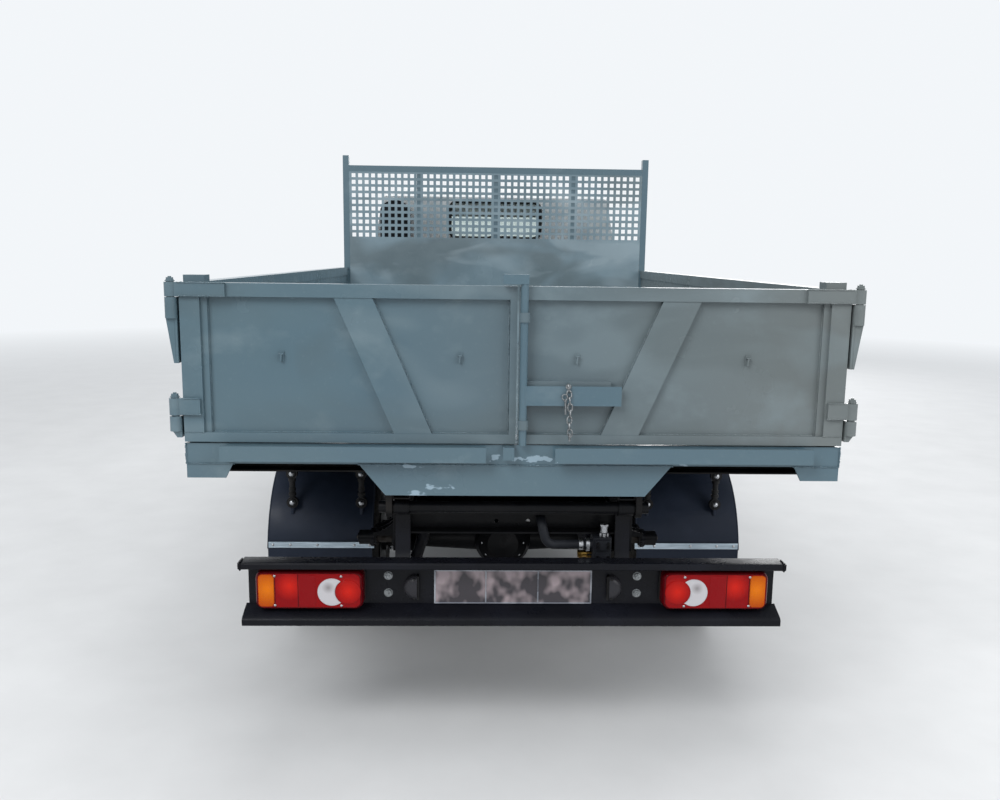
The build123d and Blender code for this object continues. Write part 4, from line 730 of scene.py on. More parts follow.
def ball_of(tree, radius, segments, rings):
    inputs = {"Segments": segments, "Rings": rings, "Radius": radius}
    return add_node(tree, "GeometryNodeMeshUVSphere", inputs).outputs["Mesh"]


def circle_of(tree, radius, points):
    inputs = {"Radius": radius, "Resolution": points}
    return add_node(tree, "GeometryNodeCurvePrimitiveCircle", inputs).outputs["Curve"]


def cylinder_of(tree, radius, depth, sides, height=None):
    """A cylinder, moved up its own axis by a height if one is given."""
    inputs = {"Vertices": sides, "Radius": radius, "Depth": depth}
    made = add_node(tree, "GeometryNodeMeshCylinder", inputs).outputs["Mesh"]
    if height is None:
        return made
    offset = add_node(tree, "ShaderNodeCombineXYZ", {"Z": height}).outputs["Vector"]
    moved = add_node(tree, "GeometryNodeTransform", {"Geometry": made, "Translation": offset})
    return moved.outputs["Geometry"]


def bolt_tree():
    """Washer, hexagon head and thread end at every point, facing its way."""
    tree, given, target = new_tree("bolts", {"Head radius": 0.009, "Head height": 0.007, "Sides": 6})

    def share_of(size, share):
        return calculated(tree, "MULTIPLY", given[size], share)

    radius, height = given["Head radius"], given["Head height"]
    washer = cylinder_of(tree, share_of("Head radius", 1.35), share_of("Head height", 0.28), 20)
    head = cylinder_of(tree, radius, height, given["Sides"], share_of("Head height", 0.6))
    stem = cylinder_of(tree, share_of("Head radius", 0.5), height, 12, height)
    bolt = add_node(tree, "GeometryNodeJoinGeometry")
    for shape in (washer, head, stem):
        tree.links.new(shape, bolt.inputs["Geometry"])
    turn = turned_further(tree, turned_to_face(tree), random_vector(tree, (0, 0, 0), (0, 0, pi), 4))
    return copies_tree(tree, given, target, given["Geometry"], bolt.outputs["Geometry"], Rotation=turn)


def rivet_tree():
    """A low domed head at every point, facing its way."""
    tree, given, target = new_tree("rivets", {"Head radius": 0.006, "Dome": 0.5})
    ball = ball_of(tree, given["Head radius"], 12, 6)
    flat = add_node(tree, "ShaderNodeCombineXYZ", {"X": 1.0, "Y": 1.0, "Z": given["Dome"]}).outputs["Vector"]
    dome = add_node(tree, "GeometryNodeTransform", {"Geometry": ball, "Scale": flat})
    turn = turned_to_face(tree)
    return copies_tree(tree, given, target, given["Geometry"], dome.outputs["Geometry"], Rotation=turn)


def weld_tree():
    """Overlapping beads of uneven size along paths."""
    tree, given, target = new_tree("weld beads", {"Bead radius": 0.004, "Pitch": 0.0045, "Seed": 3})
    points = spaced_along(tree, given["Geometry"], given["Pitch"])
    bead = ball_of(tree, given["Bead radius"], 8, 5)
    size = random_vector(tree, (0.7, 0.7, 0.6), (1.15, 1.15, 1.1), given["Seed"])
    wander = random_vector(tree, (-0.0007,) * 3, (0.0007,) * 3, 11)
    shifted = add_node(tree, "GeometryNodeSetPosition", {"Geometry": points, "Offset": wander})
    return copies_tree(tree, given, target, shifted.outputs["Geometry"], bead, Scale=size)


def chain_tree():
    """Round-wire links along a path, each turned a quarter from the last."""
    tree, given, target = new_tree("chain", {"Link length": 0.026, "Wire radius": 0.0022})
    half = calculated(tree, "MULTIPLY", given["Link length"], 0.5)
    oval = circle_of(tree, half, 16)
    slim = add_node(tree, "GeometryNodeTransform", {"Geometry": oval, "Scale": (1.0, 0.58, 1.0)})
    wire = circle_of(tree, given["Wire radius"], 8)
    inputs = {"Curve": slim.outputs["Geometry"], "Profile Curve": wire}
    link = add_node(tree, "GeometryNodeCurveToMesh", inputs).outputs["Mesh"]
    points = spaced_along(tree, given["Geometry"], calculated(tree, "MULTIPLY", given["Link length"], 0.72))
    along = add_node(tree, "GeometryNodeInputTangent").outputs["Tangent"]
    turn = aligned(tree, "X", along)
    index = add_node(tree, "GeometryNodeInputIndex").outputs["Index"]
    quarter = calculated(tree, "MULTIPLY", calculated(tree, "MODULO", index, 2.0), pi / 2)
    roll = add_node(tree, "ShaderNodeCombineXYZ", {"X": quarter}).outputs["Vector"]
    return copies_tree(tree, given, target, points, link, Rotation=turned_further(tree, turn, roll))


def ring_tree():
    """Copies of the starting mesh, turned about the X axis through the origin."""
    tree, given, target = new_tree("ring of copies", {"Copies": 60})
    points = add_node(tree, "GeometryNodePoints", {"Count": given["Copies"]}).outputs["Points"]
    index = add_node(tree, "GeometryNodeInputIndex").outputs["Index"]
    turn = calculated(tree, "MULTIPLY", index, calculated(tree, "DIVIDE", 2 * pi, given["Copies"]))
    euler = add_node(tree, "ShaderNodeCombineXYZ", {"X": turn}).outputs["Vector"]
    return copies_tree(tree, given, target, points, given["Geometry"], Rotation=as_rotation(tree, euler))


BOLTS, RIVETS, WELDS, CHAIN, RING = bolt_tree(), rivet_tree(), weld_tree(), chain_tree(), ring_tree()
REARWARD, UPWARD, DOWNWARD = (0, -1, 0), (0, 0, 1), (0, 0, -1)
SIDES = (("left", -1), ("right", 1))


# Tail lamps: a deep red housing with its coloured windows, screws and gasket
WEB_REAR = -2535
LAMP_FACE = WEB_REAR - 54


def from_web(levels):
    """Outlines at depths behind the bumper's web, as rings of points."""
    return [[(x, WEB_REAR - depth, z) for x, z in outline] for depth, outline in levels]


def tail_lamp(word, side):
    def window(label, outline, rise, finish):
        points = [(side * x, z) for x, z in outline]
        parts = [(add_outline, points, facing_rear(LAMP_FACE), rise, 1.4)]
        return solid(f"lamp_{label}_{word}", finish, "chassis", parts)

    gasket = rounded_outline(mirrored(side, 494, 858), (473, 616), 30)
    stacked(f"lamp_gasket_{word}", from_web([(0, gasket), (9, gasket)]), "seal", "chassis")
    levels = []
    for depth, inset, corner in ((9, 0, 27), (42, 1, 27), (50, 3, 26), (54, 7, 23)):
        span_x = mirrored(side, 498 + inset, 854 - inset)
        levels.append((depth, rounded_outline(span_x, (477 + inset, 612 - inset), corner, 8)))
    housing = stacked(f"lamp_body_{word}", from_web(levels), "lamp_skirt", "chassis")
    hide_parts("tail_lamps")
    window("face", rounded_outline((507, 845), (486, 603), 21), 2.4, "lamp_red")
    window("amber", rounded_outline((790, 842), (489, 600), 13), 3.8, "lamp_amber")
    window("reflex", rounded_outline((654, 709), (490, 599), 3), 3.4, "lamp_reflex")
    # The reversing window is a crescent round the inner red circle
    moon_x, moon_radius, eye_x, eye_radius, centre_z = 601, 47, 547, 44, 540
    middle = (eye_radius**2 - moon_radius**2 + (moon_x - eye_x) ** 2) / (2 * (moon_x - eye_x))
    cross_x, cross_z = eye_x + middle, sqrt(eye_radius**2 - middle**2)
    outer_turn = atan2(cross_z, cross_x - moon_x) * 180 / pi
    inner_turn = atan2(cross_z, cross_x - eye_x) * 180 / pi
    crescent = circle_points(moon_x, centre_z, moon_radius, outer_turn, -outer_turn, 26)
    crescent += circle_points(eye_x, centre_z, eye_radius, -inner_turn, inner_turn, 14)
    window("reverse", crescent, 4.6, "lamp_white")
    profile = [(0, 42), (4, 41.5), (5.4, 37), (4.4, 34), (6.2, 27), (5.2, 24), (7, 16), (6, 13), (7.6, 5)]
    profile.append((7.6, 0))
    eye = lathe_mesh("eye", profile, (side * eye_x, LAMP_FACE, centre_z), "Y", 48, -1)
    as_piece(f"lamp_fog_{word}", eye, "lamp_red", "chassis")
    seams = []
    for x in (711.5, 787.5):
        span_x = mirrored(side, x - 1.5, x + 1.5)
        seams.append((add_block, span_x, (LAMP_FACE, LAMP_FACE - 3), (488, 601), 0.5))
    solid(f"lamp_seams_{word}", "lamp_skirt", "chassis", seams)
    places = ((788, 595), (788, 494), (570, 594), (570, 493))
    screws = [((side * x, LAMP_FACE - 3.6, z), REARWARD) for x, z in places]
    dotted(f"lamp_screws_{word}", RIVETS, screws, "zinc", "chassis", Head_radius=0.0045)


# Number plate: a blank plate under its ribbed cover, and the two half-round plate lamps
def number_plate():
    parts = [(add_outline, rounded_outline((-262, 262), (483, 597), 8), facing_rear(WEB_REAR), 4, 1)]
    plate = solid("plate_blank", "plate_smoke", "chassis", parts)
    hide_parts("number_plate")
    frame_depth = (WEB_REAR, WEB_REAR - 8)
    parts = [(add_block, (-264, 264), frame_depth, span_z, 1.4) for span_z in ((595, 600), (481, 485))]
    parts += [(add_block, span_x, frame_depth, (481, 600), 1.4) for span_x in ((-266, -261), (261, 266))]
    for x in (-92, 84):
        for low, high, half in ((484, 524, 2.4), (524, 566, 1.3), (566, 597, 2.2)):
            parts.append((add_block, (x - half, x + half), (WEB_REAR - 3, WEB_REAR - 8), (low, high), 1))
    solid("plate_frame", "plate_edge", "chassis", parts)
    for word, side in SIDES:
        levels = []
        for depth, share in ((0, 1.0), (14, 0.97), (22, 0.85), (27, 0.6)):
            arc = circle_points(0, 0, 44 * share, -90, 90, 16)
            levels.append((depth, [(side * (323 + 1.04 * x), 539 + z) for x, z in arc]))
        stacked(f"plate_lamp_{word}", from_web(levels), "lamp_dark", "chassis")
        parts = [(add_block, (side * 316, side * 323), (WEB_REAR, WEB_REAR - 20), (497, 581), 1.5)]
        for z in (505, 573):
            parts.append((add_bar, (side * 331, WEB_REAR - 18, z), (side * 331, WEB_REAR - 27, z), 3.4, 10))
        solid(f"plate_lamp_base_{word}", "seal", "chassis", parts)


# Rear bumper: a channel open to the rear, its rolled lips, end caps, straps and bolts
def rear_bumper():
    nose = [(-2531, 640), (-2592, 644), (-2601, 643), (-2606, 638), (-2606, 624), (-2604, 621.5)]
    nose += [(-2601.5, 624), (-2601.5, 636), (-2597, 639.5), (-2531, 636)]
    web = [(-2531, 639), (-2535, 639), (-2535, 479), (-2531, 476)]
    shelf = [(-2531, 476), (-2535, 480), (-2600, 455), (-2606, 448), (-2606, 430), (-2603.5, 427)]
    shelf += [(-2601, 430), (-2601, 446), (-2597, 451)]
    parts = []
    for half, points in ((898, nose), (887, web), (896, shelf)):
        parts.append((add_outline, points, running_across(-half), 2 * half, 0.7))
    channel = solid("bumper_channel", "bumper", "chassis", parts)
    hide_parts("rear_bumper")
    strap = [(-2462, 780), (-2462, 640), (-2476, 612), (-2531, 556), (-2531, 568), (-2485, 620)]
    strap += [(-2471, 646), (-2471, 780)]
    inner_x, outer_x = 350, 402
    parts = []
    for side in (-1, 1):
        low_x = min(side * inner_x, side * outer_x)
        parts.append((add_outline, strap, running_across(low_x), outer_x - inner_x, 2))
        parts.append((add_block, (side * inner_x, side * outer_x), (-2525, -2531), (480, 632), 2))
        parts.append((add_block, (side * 890, side * 904), (-2609, -2560), (617, 648), 5))
    straps = solid("bumper_straps", "bumper", "chassis", parts)
    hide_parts("rear_bumper")
    bolts = [((side * 420, WEB_REAR, z), REARWARD) for side in (-1, 1) for z in (577, 517)]
    sizes = {"Head_radius": 0.011, "Head_height": 0.008, "Sides": 16}
    dotted("bumper_bolts", BOLTS, bolts, "chain_steel", "chassis", **sizes)


# Mudguards: rolled edges, riveted strips over the rear flaps, and hanger straps
AXLE_REAR, AXLE_FRONT, AXLE_Z = -1355, 1545, 340
# Columns: label, axle station, radius, edges, arc from, arc to
GUARD_TABLE = (
    ("rear", AXLE_REAR, 392, (566, 1006), 12, 171),
    ("front", AXLE_FRONT, 402, (470, 870), 12, 168),
)


def mudguards():
    for label, axle_y, radius, span_x, start, stop in GUARD_TABLE:
        for word, side in SIDES:
            for x in span_x:
                path = [(side * x, y, z) for y, z in circle_points(axle_y, AXLE_Z, radius, start, stop, 24)]
                tube(f"guard_edge_{label}_{word}_{x}", path, 4, "guard", "chassis")
    flap_rear = AXLE_REAR - 390
    rod_y = AXLE_REAR - 335
    for word, side in SIDES:
        parts = [(add_block, (side * 557, side * 1003), (flap_rear, flap_rear - 4), (407, 433), 1)]
        solid(f"guard_strip_{word}", "aluminium", "chassis", parts)
        rivets = [((side * x, flap_rear - 4, 420), REARWARD) for x in (576, 641, 797, 911, 984)]
        dotted(f"guard_rivets_{word}", RIVETS, rivets, "zinc", "chassis", Head_radius=0.006)
        # Each hanger ends in a rubber sleeve, two bands and a tab with a domed bolt
        parts, bolts = [], []
        for x in (side * 615, side * 908):
            for low, high, radius in ((572, 726, 12), (622, 634, 16), (644, 654, 15), (684, 696, 16)):
                parts.append((add_bar, (x, rod_y, low), (x, rod_y, high), radius, 20))
            for z in (592, 718):
                parts.append((add_bar, (x, rod_y + 8, z), (x, rod_y - 12, z), 24, 24))
                parts.append((add_bar, (x, rod_y - 12, z), (x, rod_y - 17, z), 20, 24, 16))
                bolts.append(((x, rod_y - 17, z), REARWARD))
        solid(f"guard_hangers_{word}", "seal", "chassis", parts)
        dotted(f"guard_bolts_{word}", RIVETS, bolts, "zinc", "chassis", Head_radius=0.0115, Dome=0.6)


# Tyres with tread, and wheel nuts
TREAD_COPIES = 64
TREAD_BASE = 329
TREAD_FACE = 339.8
TREAD_PITCH_RADIUS = 339.6
TREAD_LEAN = 1.2
# Half of the sidewall's section, from the bead to the middle of the tread: (across, radius)
TYRE_HALF = (
    (70, 203.6), (71, 216), (76, 224), (84, 240), (90, 262), (91.5, 280), (89, 298), (84, 312), (80, 322),
    (78, 327), (73, 329), (60, 330), (0, 331),
)
# Rows of tread blocks: low and high edge across, shift and share of the pitch, slant
TREAD_ROWS = (
    (-66, -49, 0.0, 0.86, 0), (-43, -21, 0.5, 0.8, 5), (-16, 16, 0.2, 0.84, 0), (21, 43, 0.6, 0.8, 5),
    (49, 66, 0.1, 0.86, 0),
)


def tyre(name, centre_x, axle_y, side, body, node):
    """A radial tyre: bulged sidewalls with ribs, a shoulder and a grooved tread."""
    profile = [(-x, radius) for x, radius in TYRE_HALF] + list(TYRE_HALF[-2::-1])
    profile.append(profile[0])
    carcass = lathe_mesh(f"{name}_carcass", profile, (centre_x, axle_y, AXLE_Z), "X", 96, side)
    piece = as_piece(f"{name}_carcass", carcass, "tyre", body)
    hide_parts(node)
    # One slice of the tread: shoulder lugs and three ribs of blocks with sipes between them
    pitch = 2 * pi * TREAD_PITCH_RADIUS / TREAD_COPIES
    shapes = []
    for low_x, high_x, shift, fill, slant in TREAD_ROWS:
        start = pitch * (shift - 0.5)
        stop = start + pitch * fill
        foot = ((low_x, start), (high_x, start + slant), (high_x, stop + slant), (low_x, stop))
        ways = ((1, 1), (-1, 1), (-1, -1), (1, -1))
        far = []
        for (x, v), (way_x, way_v) in zip(foot, ways):
            far_v = v + TREAD_LEAN * way_v
            far.append((x + TREAD_LEAN * way_x, far_v, sqrt(TREAD_FACE**2 - far_v**2)))
        shapes.append(([(x, v, TREAD_BASE) for x, v in foot], far))
    for way in (-1, 1):
        near = [(way * x, v, z) for x, v, z in ((66, -7, 329), (66, 7, 329), (79, 6, 316), (79, -6, 316))]
        far = [(way * x, v, z) for x, v, z in ((67, -6, 338), (67, 6, 338), (83, 5, 322), (83, -5, 322))]
        shapes.append((near, far))
    form = bmesh.new()
    for near, far in shapes:
        rings = [ring_of(form, near), ring_of(form, far)]
        form.faces.new(rings[1])
        join_rings(form, rings)
    slice_mesh = from_bmesh("tread slice", form, False)
    tread = grown(f"{name}_tread", RING, slice_mesh, "tyre", body, 30, Copies=TREAD_COPIES)
    tread.data.transform(Matrix.Translation(Vector((centre_x, axle_y, AXLE_Z)) * MM))


def wheels():
    for word, side in SIDES:
        tyre(f"front_{word}", side * 750, AXLE_FRONT, side, f"wheel_front_{word}", f"front_{word}_tyre")
        for place, offset in (("inner", -107.5), ("outer", 107.5)):
            centre = side * (750 + offset)
            tyre(f"rear_{word}_{place}", centre, AXLE_REAR, side, f"wheels_rear_{word}", f"rear_{word}_tyres")
        for label, axle_y, ring, face, body in (
            ("front", AXLE_FRONT, 84, 850, f"wheel_front_{word}"),
            ("rear", AXLE_REAR, 88, 758, f"wheels_rear_{word}"),
        ):
            places = circle_points(axle_y, AXLE_Z, ring, steps=6)
            nuts = [((side * face, y, z), (side, 0, 0)) for y, z in places]
            name = f"wheel_nuts_{label}_{word}"
            dotted(name, BOLTS, nuts, "zinc", body, Head_radius=0.013, Head_height=0.018)


# Tailboard: welds, hasps, chain and hinge fittings
DOOR_REAR = -2620
SHEET_REAR = -2598.5
STRAP_REAR = -2630
HASPS = {-1: (-743, -182), 1: (190, 736)}


def rear_doors():
    for word, side in SIDES:
        body = f"rear_door_{word}"

        def seam(y, *points):
            return [(side * x, y, z) for x, z in points]

        frame_corners = ((968, 1079), (968, 1509), (28, 1509), (28, 1079), (968, 1079))
        paths = [seam(SHEET_REAR, *pair) for pair in zip(frame_corners, frame_corners[1:])]
        for low, high in (((270, 1080), (457, 1508)), ((390, 1080), (577, 1508))):
            paths.append(seam(SHEET_REAR, low, high))
        lined(f"door_welds_{word}", WELDS, paths, "bed_paint", body, Bead_radius=0.0035, Pitch=0.0042)
        # Corner joins of the frame show as ground welds
        paths = [seam(DOOR_REAR, (988, z), (1049, z)) for z in (1508, 1080)]
        lined(f"door_seams_{word}", WELDS, paths, "bed_paint", body, Bead_radius=0.0022, Pitch=0.003, Seed=8)
        # Small hasps on the sheet
        parts = []
        z = 1322
        for x in HASPS[side]:
            parts.append((add_block, (x - 9, x + 9), (-2598, -2601), (z - 17, z + 17), 1))
            for foot_x in (x - 5, x + 5):
                parts.append((add_bar, (foot_x, -2601, z + 8), (foot_x, -2610, z + 8), 2.4, 10))
            parts.append((add_bar, (x - 6, -2610, z + 8), (x + 6, -2610, z + 8), 2.4, 10))
            parts.append((add_bar, (x, -2609, z + 10), (x - 2, -2607, z - 16), 3.2, 10))
        solid(f"door_hasps_{word}", "bed_paint", body, parts)
        # Nuts on the hinge pins, and welds along both edges of the hinge straps
        nuts = [((side * 1075, DOOR_REAR, z), UPWARD) for z in (1555, 1194)]
        dotted(f"hinge_nuts_{word}", BOLTS, nuts, "bed_paint", "bed", Head_radius=0.011, Head_height=0.009)
        ends = ((907, 1509), (995, 1139), (907, 1550), (995, 1189))
        paths = [seam(STRAP_REAR, (x, z), (1050, z)) for x, z in ends]
        lined(f"strap_welds_{word}", WELDS, paths, "bed_paint", body, Bead_radius=0.0028, Pitch=0.0036)


def handle_chain():
    """The chain that hangs from the handle bar, with its ring and pin."""
    path = [(159, -2650, 1236), (163, -2651, 1200), (166, -2650, 1160), (163, -2649, 1120)]
    path.append((167, -2648, 1092))
    lined("handle_chain", CHAIN, [path], "chain_steel", "lock_bar", Link_length=0.026, Wire_radius=0.0024)
    parts = [
        (add_bar, (159, -2640, 1238), (159, -2656, 1238), 5, 16),
        (add_bar, (159, -2646, 1240), (159, -2650, 1240), 9, 20),
        (add_bar, (166, -2650, 1092), (166, -2650, 1066), 3.4, 12),
        (add_bar, (150, -2651, 1200), (151, -2651, 1152), 3.2, 12),
        (add_bar, (150, -2651, 1200), (150, -2651, 1193), 5.2, 12),
    ]
    solid("chain_fittings", "chain_steel", "lock_bar", parts)
    ring = [(148 + x, -2651, 1207 + z) for x, z in circle_points(0, 0, 9, steps=20)]
    tube("chain_ring", ring, 1.9, "chain_steel", "lock_bar", closed=True)


def bed_welds():
    sill_rear, board_front = -2613, 786
    paths = []
    for x_low, x_high in ((-933, -98), (121, 948)):
        for step in range(4):
            x = x_low + 40 + step * (x_high - x_low - 80) / 3
            paths.append([(x - 15, -2612, 1035), (x + 15, -2612, 1035)])
    paths.append([(-505, sill_rear, 978), (505, sill_rear, 978)])
    for side in (-1, 1):
        paths.append([(side * 900, sill_rear, 978), (side * 1050, sill_rear, 978)])
        paths.append([(side * 1050, sill_rear, 980), (side * 1050, sill_rear, 1043)])
    lined("sill_welds", WELDS, paths, "sill_paint", "bed", Bead_radius=0.0032, Pitch=0.004, Seed=5)
    paths = [[(side * 989, 782, 1060), (side * 989, 782, 2226)] for side in (-1, 1)]
    for x in (-535, -495, -15, 25, 505, 545):
        paths.append([(x, board_front, 1060), (x, board_front, 1740)])
    lined("headboard_welds", WELDS, paths, "bed_paint", "bed", Bead_radius=0.003, Pitch=0.006, Seed=6)


for lamp_word, lamp_side in SIDES:
    tail_lamp(lamp_word, lamp_side)
number_plate()
rear_bumper()
mudguards()
wheels()
rear_doors()
handle_chain()
bed_welds()


# Cab: seals, wipers, lamps, grille bars, mirrors, handles and trim
SCREEN_SLOPE = (2560 - 2330) / (2010 - 1330)
SIDE_SLOPE = (900 - 790) / (1990 - 1380)
SCREEN = [(-770, 1375), (770, 1375), (672, 1975), (-672, 1975)]
SIDE_WINDOW = [(2314.3, 1400), (2124.9, 1960), (1392, 1960), (1392, 1400)]
REAR_WINDOW = [(-315, 1760), (315, 1760), (315, 2010), (-315, 2010)]


def screen_y(z):
    return 2560 - SCREEN_SLOPE * (z - 1330)


def side_x(z):
    return 900 - SIDE_SLOPE * max(z - 1380, 0)


def rounded_polygon(points, radius, steps=6):
    """A closed outline with each corner turned into an arc-like curve."""
    rounded = []
    for index, (u, v) in enumerate(points):
        arms = []
        for far_u, far_v in (points[index - 1], points[(index + 1) % len(points)]):
            reach = hypot(far_u - u, far_v - v)
            arms.append((u + (far_u - u) * radius / reach, v + (far_v - v) * radius / reach))
        for step in range(steps + 1):
            t = step / steps
            first, middle, last = (1 - t) ** 2, 2 * t * (1 - t), t**2
            curve_u = first * arms[0][0] + middle * u + last * arms[1][0]
            curve_v = first * arms[0][1] + middle * v + last * arms[1][1]
            rounded.append((curve_u, curve_v))
    return rounded


def window_seals():
    for name, rise, radius, finish in (("screen_seal", 3, 11, "seal"), ("screen_bead", 12, 2.4, "chrome")):
        path = [(u, screen_y(v) + rise, v) for u, v in rounded_polygon(SCREEN, 75)]
        tube(name, path, radius, finish, "cab", closed=True)
    path = [(u, 957, v) for u, v in rounded_polygon(REAR_WINDOW, 62)]
    tube("rear_window_seal", path, 12, "seal", "cab", closed=True)
    belt_x = side_x(1398)
    for word, side in SIDES:
        body = f"cab_door_{word}"
        path = [(side * (side_x(v) + 1), u, v) for u, v in rounded_polygon(SIDE_WINDOW, 60)]
        tube(f"door_window_seal_{word}", path, 8, "seal", body, closed=True)
        span_x = (side * (belt_x - 4), side * (belt_x + 9))
        solid(f"belt_strip_{word}", "seal", body, [(add_block, span_x, (1402, 2300), (1392, 1404), 3)])


def wipers():
    pivot_z, tip_z, low_z, high_z = 1322, 1560, 1395, 1690
    parts = []
    for pivot_x, tip_x in ((-560, -120), (120, 560)):
        pivot_y = screen_y(pivot_z) + 16
        tip = (tip_x, screen_y(tip_z) + 26, tip_z)
        parts.append((add_bar, (pivot_x, pivot_y - 30, pivot_z), (pivot_x, pivot_y + 16, pivot_z), 12, 16))
        parts.append((add_bar, (pivot_x, pivot_y + 12, pivot_z), tip, 6, 8, 4))
        low = Vector((tip_x - 330, screen_y(low_z) + 17, low_z))
        high = Vector((tip_x + 200, screen_y(high_z) + 17, high_z))
        back = Vector((0, -6, 0))
        parts.append((add_bar, low, high, 6, 8))
        parts.append((add_bar, low + back, high + back, 3.5, 6))
        for share in (0.2, 0.5, 0.8):
            place = low.lerp(high, share)
            parts.append((add_bar, place, place + Vector((0, 12, 4)), 5, 8))
    solid("wipers", "moulding", "cab", parts)


LAMP_Z = 875
CORNER_X, CORNER_Y, CORNER_RADIUS = 790, 2495, 112


def headlamps():
    for word, side in SIDES:
        bowl_outline = rounded_outline(mirrored(side, 522, 768), (802, 948), 22)
        parts = [(add_outline, bowl_outline, facing_front(2578), 12, 2)]
        for x, radius, end_radius in ((590, 62, 30), (705, 50, 24)):
            ends = (side * x, 2592, LAMP_Z), (side * x, 2586, LAMP_Z)
            parts.append((add_bar, *ends, radius, 40, end_radius))
        bowl = solid(f"headlamp_bowl_{word}", "chrome", "cab", parts)
        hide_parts("headlamps")
        parts = []
        for x, radius in ((590, 14), (705, 11)):
            ends = (side * x, 2588, LAMP_Z), (side * x, 2598, LAMP_Z)
            parts.append((add_bar, *ends, radius, 16, radius * 0.5))
        solid(f"headlamp_bulbs_{word}", "lamp_white", "cab", parts)
        rings = []
        for depth, inset in ((0, 0), (6, 1), (9, 4), (10, 10)):
            span_x = mirrored(side, 524 + inset, 766 - inset)
            outline = rounded_outline(span_x, (804 + inset, 946 - inset), 20)
            rings.append([(x, 2598 + depth, z) for x, z in outline])
        stacked(f"headlamp_glass_{word}", rings, "fluted_glass", "cab", ends=(-1,))
        trim = [(x, 2606, z) for x, z in rounded_outline(mirrored(side, 516, 774), (796, 954), 26, 6)]
        tube(f"headlamp_trim_{word}", trim, 5, "moulding", "cab", closed=True)
        # Direction lamp round the cab's corner
        form = bmesh.new()
        rings = []
        for z, inset in ((812, 6), (818, 0), (932, 0), (938, 6)):
            arc = circle_points(0, 0, CORNER_RADIUS - inset, 0, 90, 10)
            rings.append(ring_of(form, [(side * (CORNER_X + x), CORNER_Y + y, z) for x, y in arc]))
        join_rings(form, rings, closed=False)
        bmesh.ops.solidify(form, geom=form.faces[:], thickness=0.004)
        as_piece(f"direction_lamp_{word}", from_bmesh("direction lamp", form), "lamp_amber", "cab")


def grille():
    parts = [(add_block, (-402, 402), (2566, 2572), (788, 974), 2)]
    for z in range(790, 951, 40):
        bar = [(2572, z + 3), (2596, z - 1), (2599, z + 2), (2574, z + 8)]
        parts.append((add_outline, bar, running_across(-398), 796, 0.8))
    parts += [(add_block, (x - 5, x + 5), (2572, 2590), (790, 972), 1) for x in (-200, 0, 200)]
    solid("grille_bars", "moulding", "cab", parts)
    rim = [(x, 2606 - 0.005 * abs(z - 880), z) for x, z in rounded_outline((-412, 412), (780, 984), 18, 6)]
    tube("grille_rim", rim, 5, "moulding", "cab", closed=True)


def mirrors_and_handles():
    strip_z = (842, 892)
    for word, side in SIDES:
        body = f"cab_door_{word}"
        outline = rounded_outline(mirrored(side, 972, 1108), (1415, 1720), 22)
        solid(f"mirror_glass_{word}", "mirror", body, [(add_outline, outline, facing_rear(2300), 3, 1)])
        outline = rounded_outline(mirrored(side, 958, 1121), (1398, 1737), 28)
        parts = [
            (add_outline, outline, facing_rear(2303), 8, 3),
            (add_block, (side * 962, side * 1118), (2300, 2342), (1402, 1733), 14),
        ]
        solid(f"mirror_shell_{word}", "moulding", body, parts)
        # Pull handle in its black dish, with the lock barrel
        dish = rounded_outline((1368, 1520), (1168, 1232), 14)
        pull = rounded_outline((1378, 1500), (1196, 1222), 8)
        parts = [
            (add_outline, dish, facing_side(side * 900, side), 3, 1),
            (add_outline, pull, facing_side(side * 903, side), 16, 4),
            (add_bar, (side * 900, 1508, 1180), (side * 906, 1508, 1180), 8, 20),
        ]
        solid(f"door_handle_{word}", "moulding", body, parts)
        for name, strip_body, span_y in (("door", body, (1336, 2392)), ("side", "cab", (1010, 1310))):
            outline = rounded_outline(span_y, strip_z, 8)
            parts = [(add_outline, outline, facing_side(side * 899, side), 9, 3)]
            solid(f"{name}_strip_{word}", "moulding", strip_body, parts)


def cab_roof_trim():
    gutter = ((2318, 2020), (2200, 2040), (1900, 2046), (1400, 2046), (1000, 2040))
    for word, side in SIDES:
        path = [(side * (side_x(v) + 4), u, v) for u, v in gutter]
        tube(f"rain_gutter_{word}", path, 7, "cab_white", "cab")


def front_bumper_trim():
    parts = [(add_outline, rounded_outline((-262, 262), (412, 526), 8), facing_front(2656), 3, 1)]
    solid("front_plate_blank", "bare_plate", "chassis", parts)
    for word, side in SIDES:
        x, z = side * 560, 440
        solid(f"fog_rim_{word}", "moulding", "chassis", [(add_bar, (x, 2632, z), (x, 2650, z), 52, 40)])
        profile = [(0, 44), (4, 43), (8, 34), (10, 18), (10.5, 0)]
        lens = lathe_mesh("fog lens", profile, (x, 2649, z), "Y", 40)
        as_piece(f"fog_glass_{word}", lens, "fluted_glass", "chassis")
    solid("bumper_spoiler", "moulding", "chassis", [(add_block, (-640, 640), (2628, 2640), (345, 372), 4)])


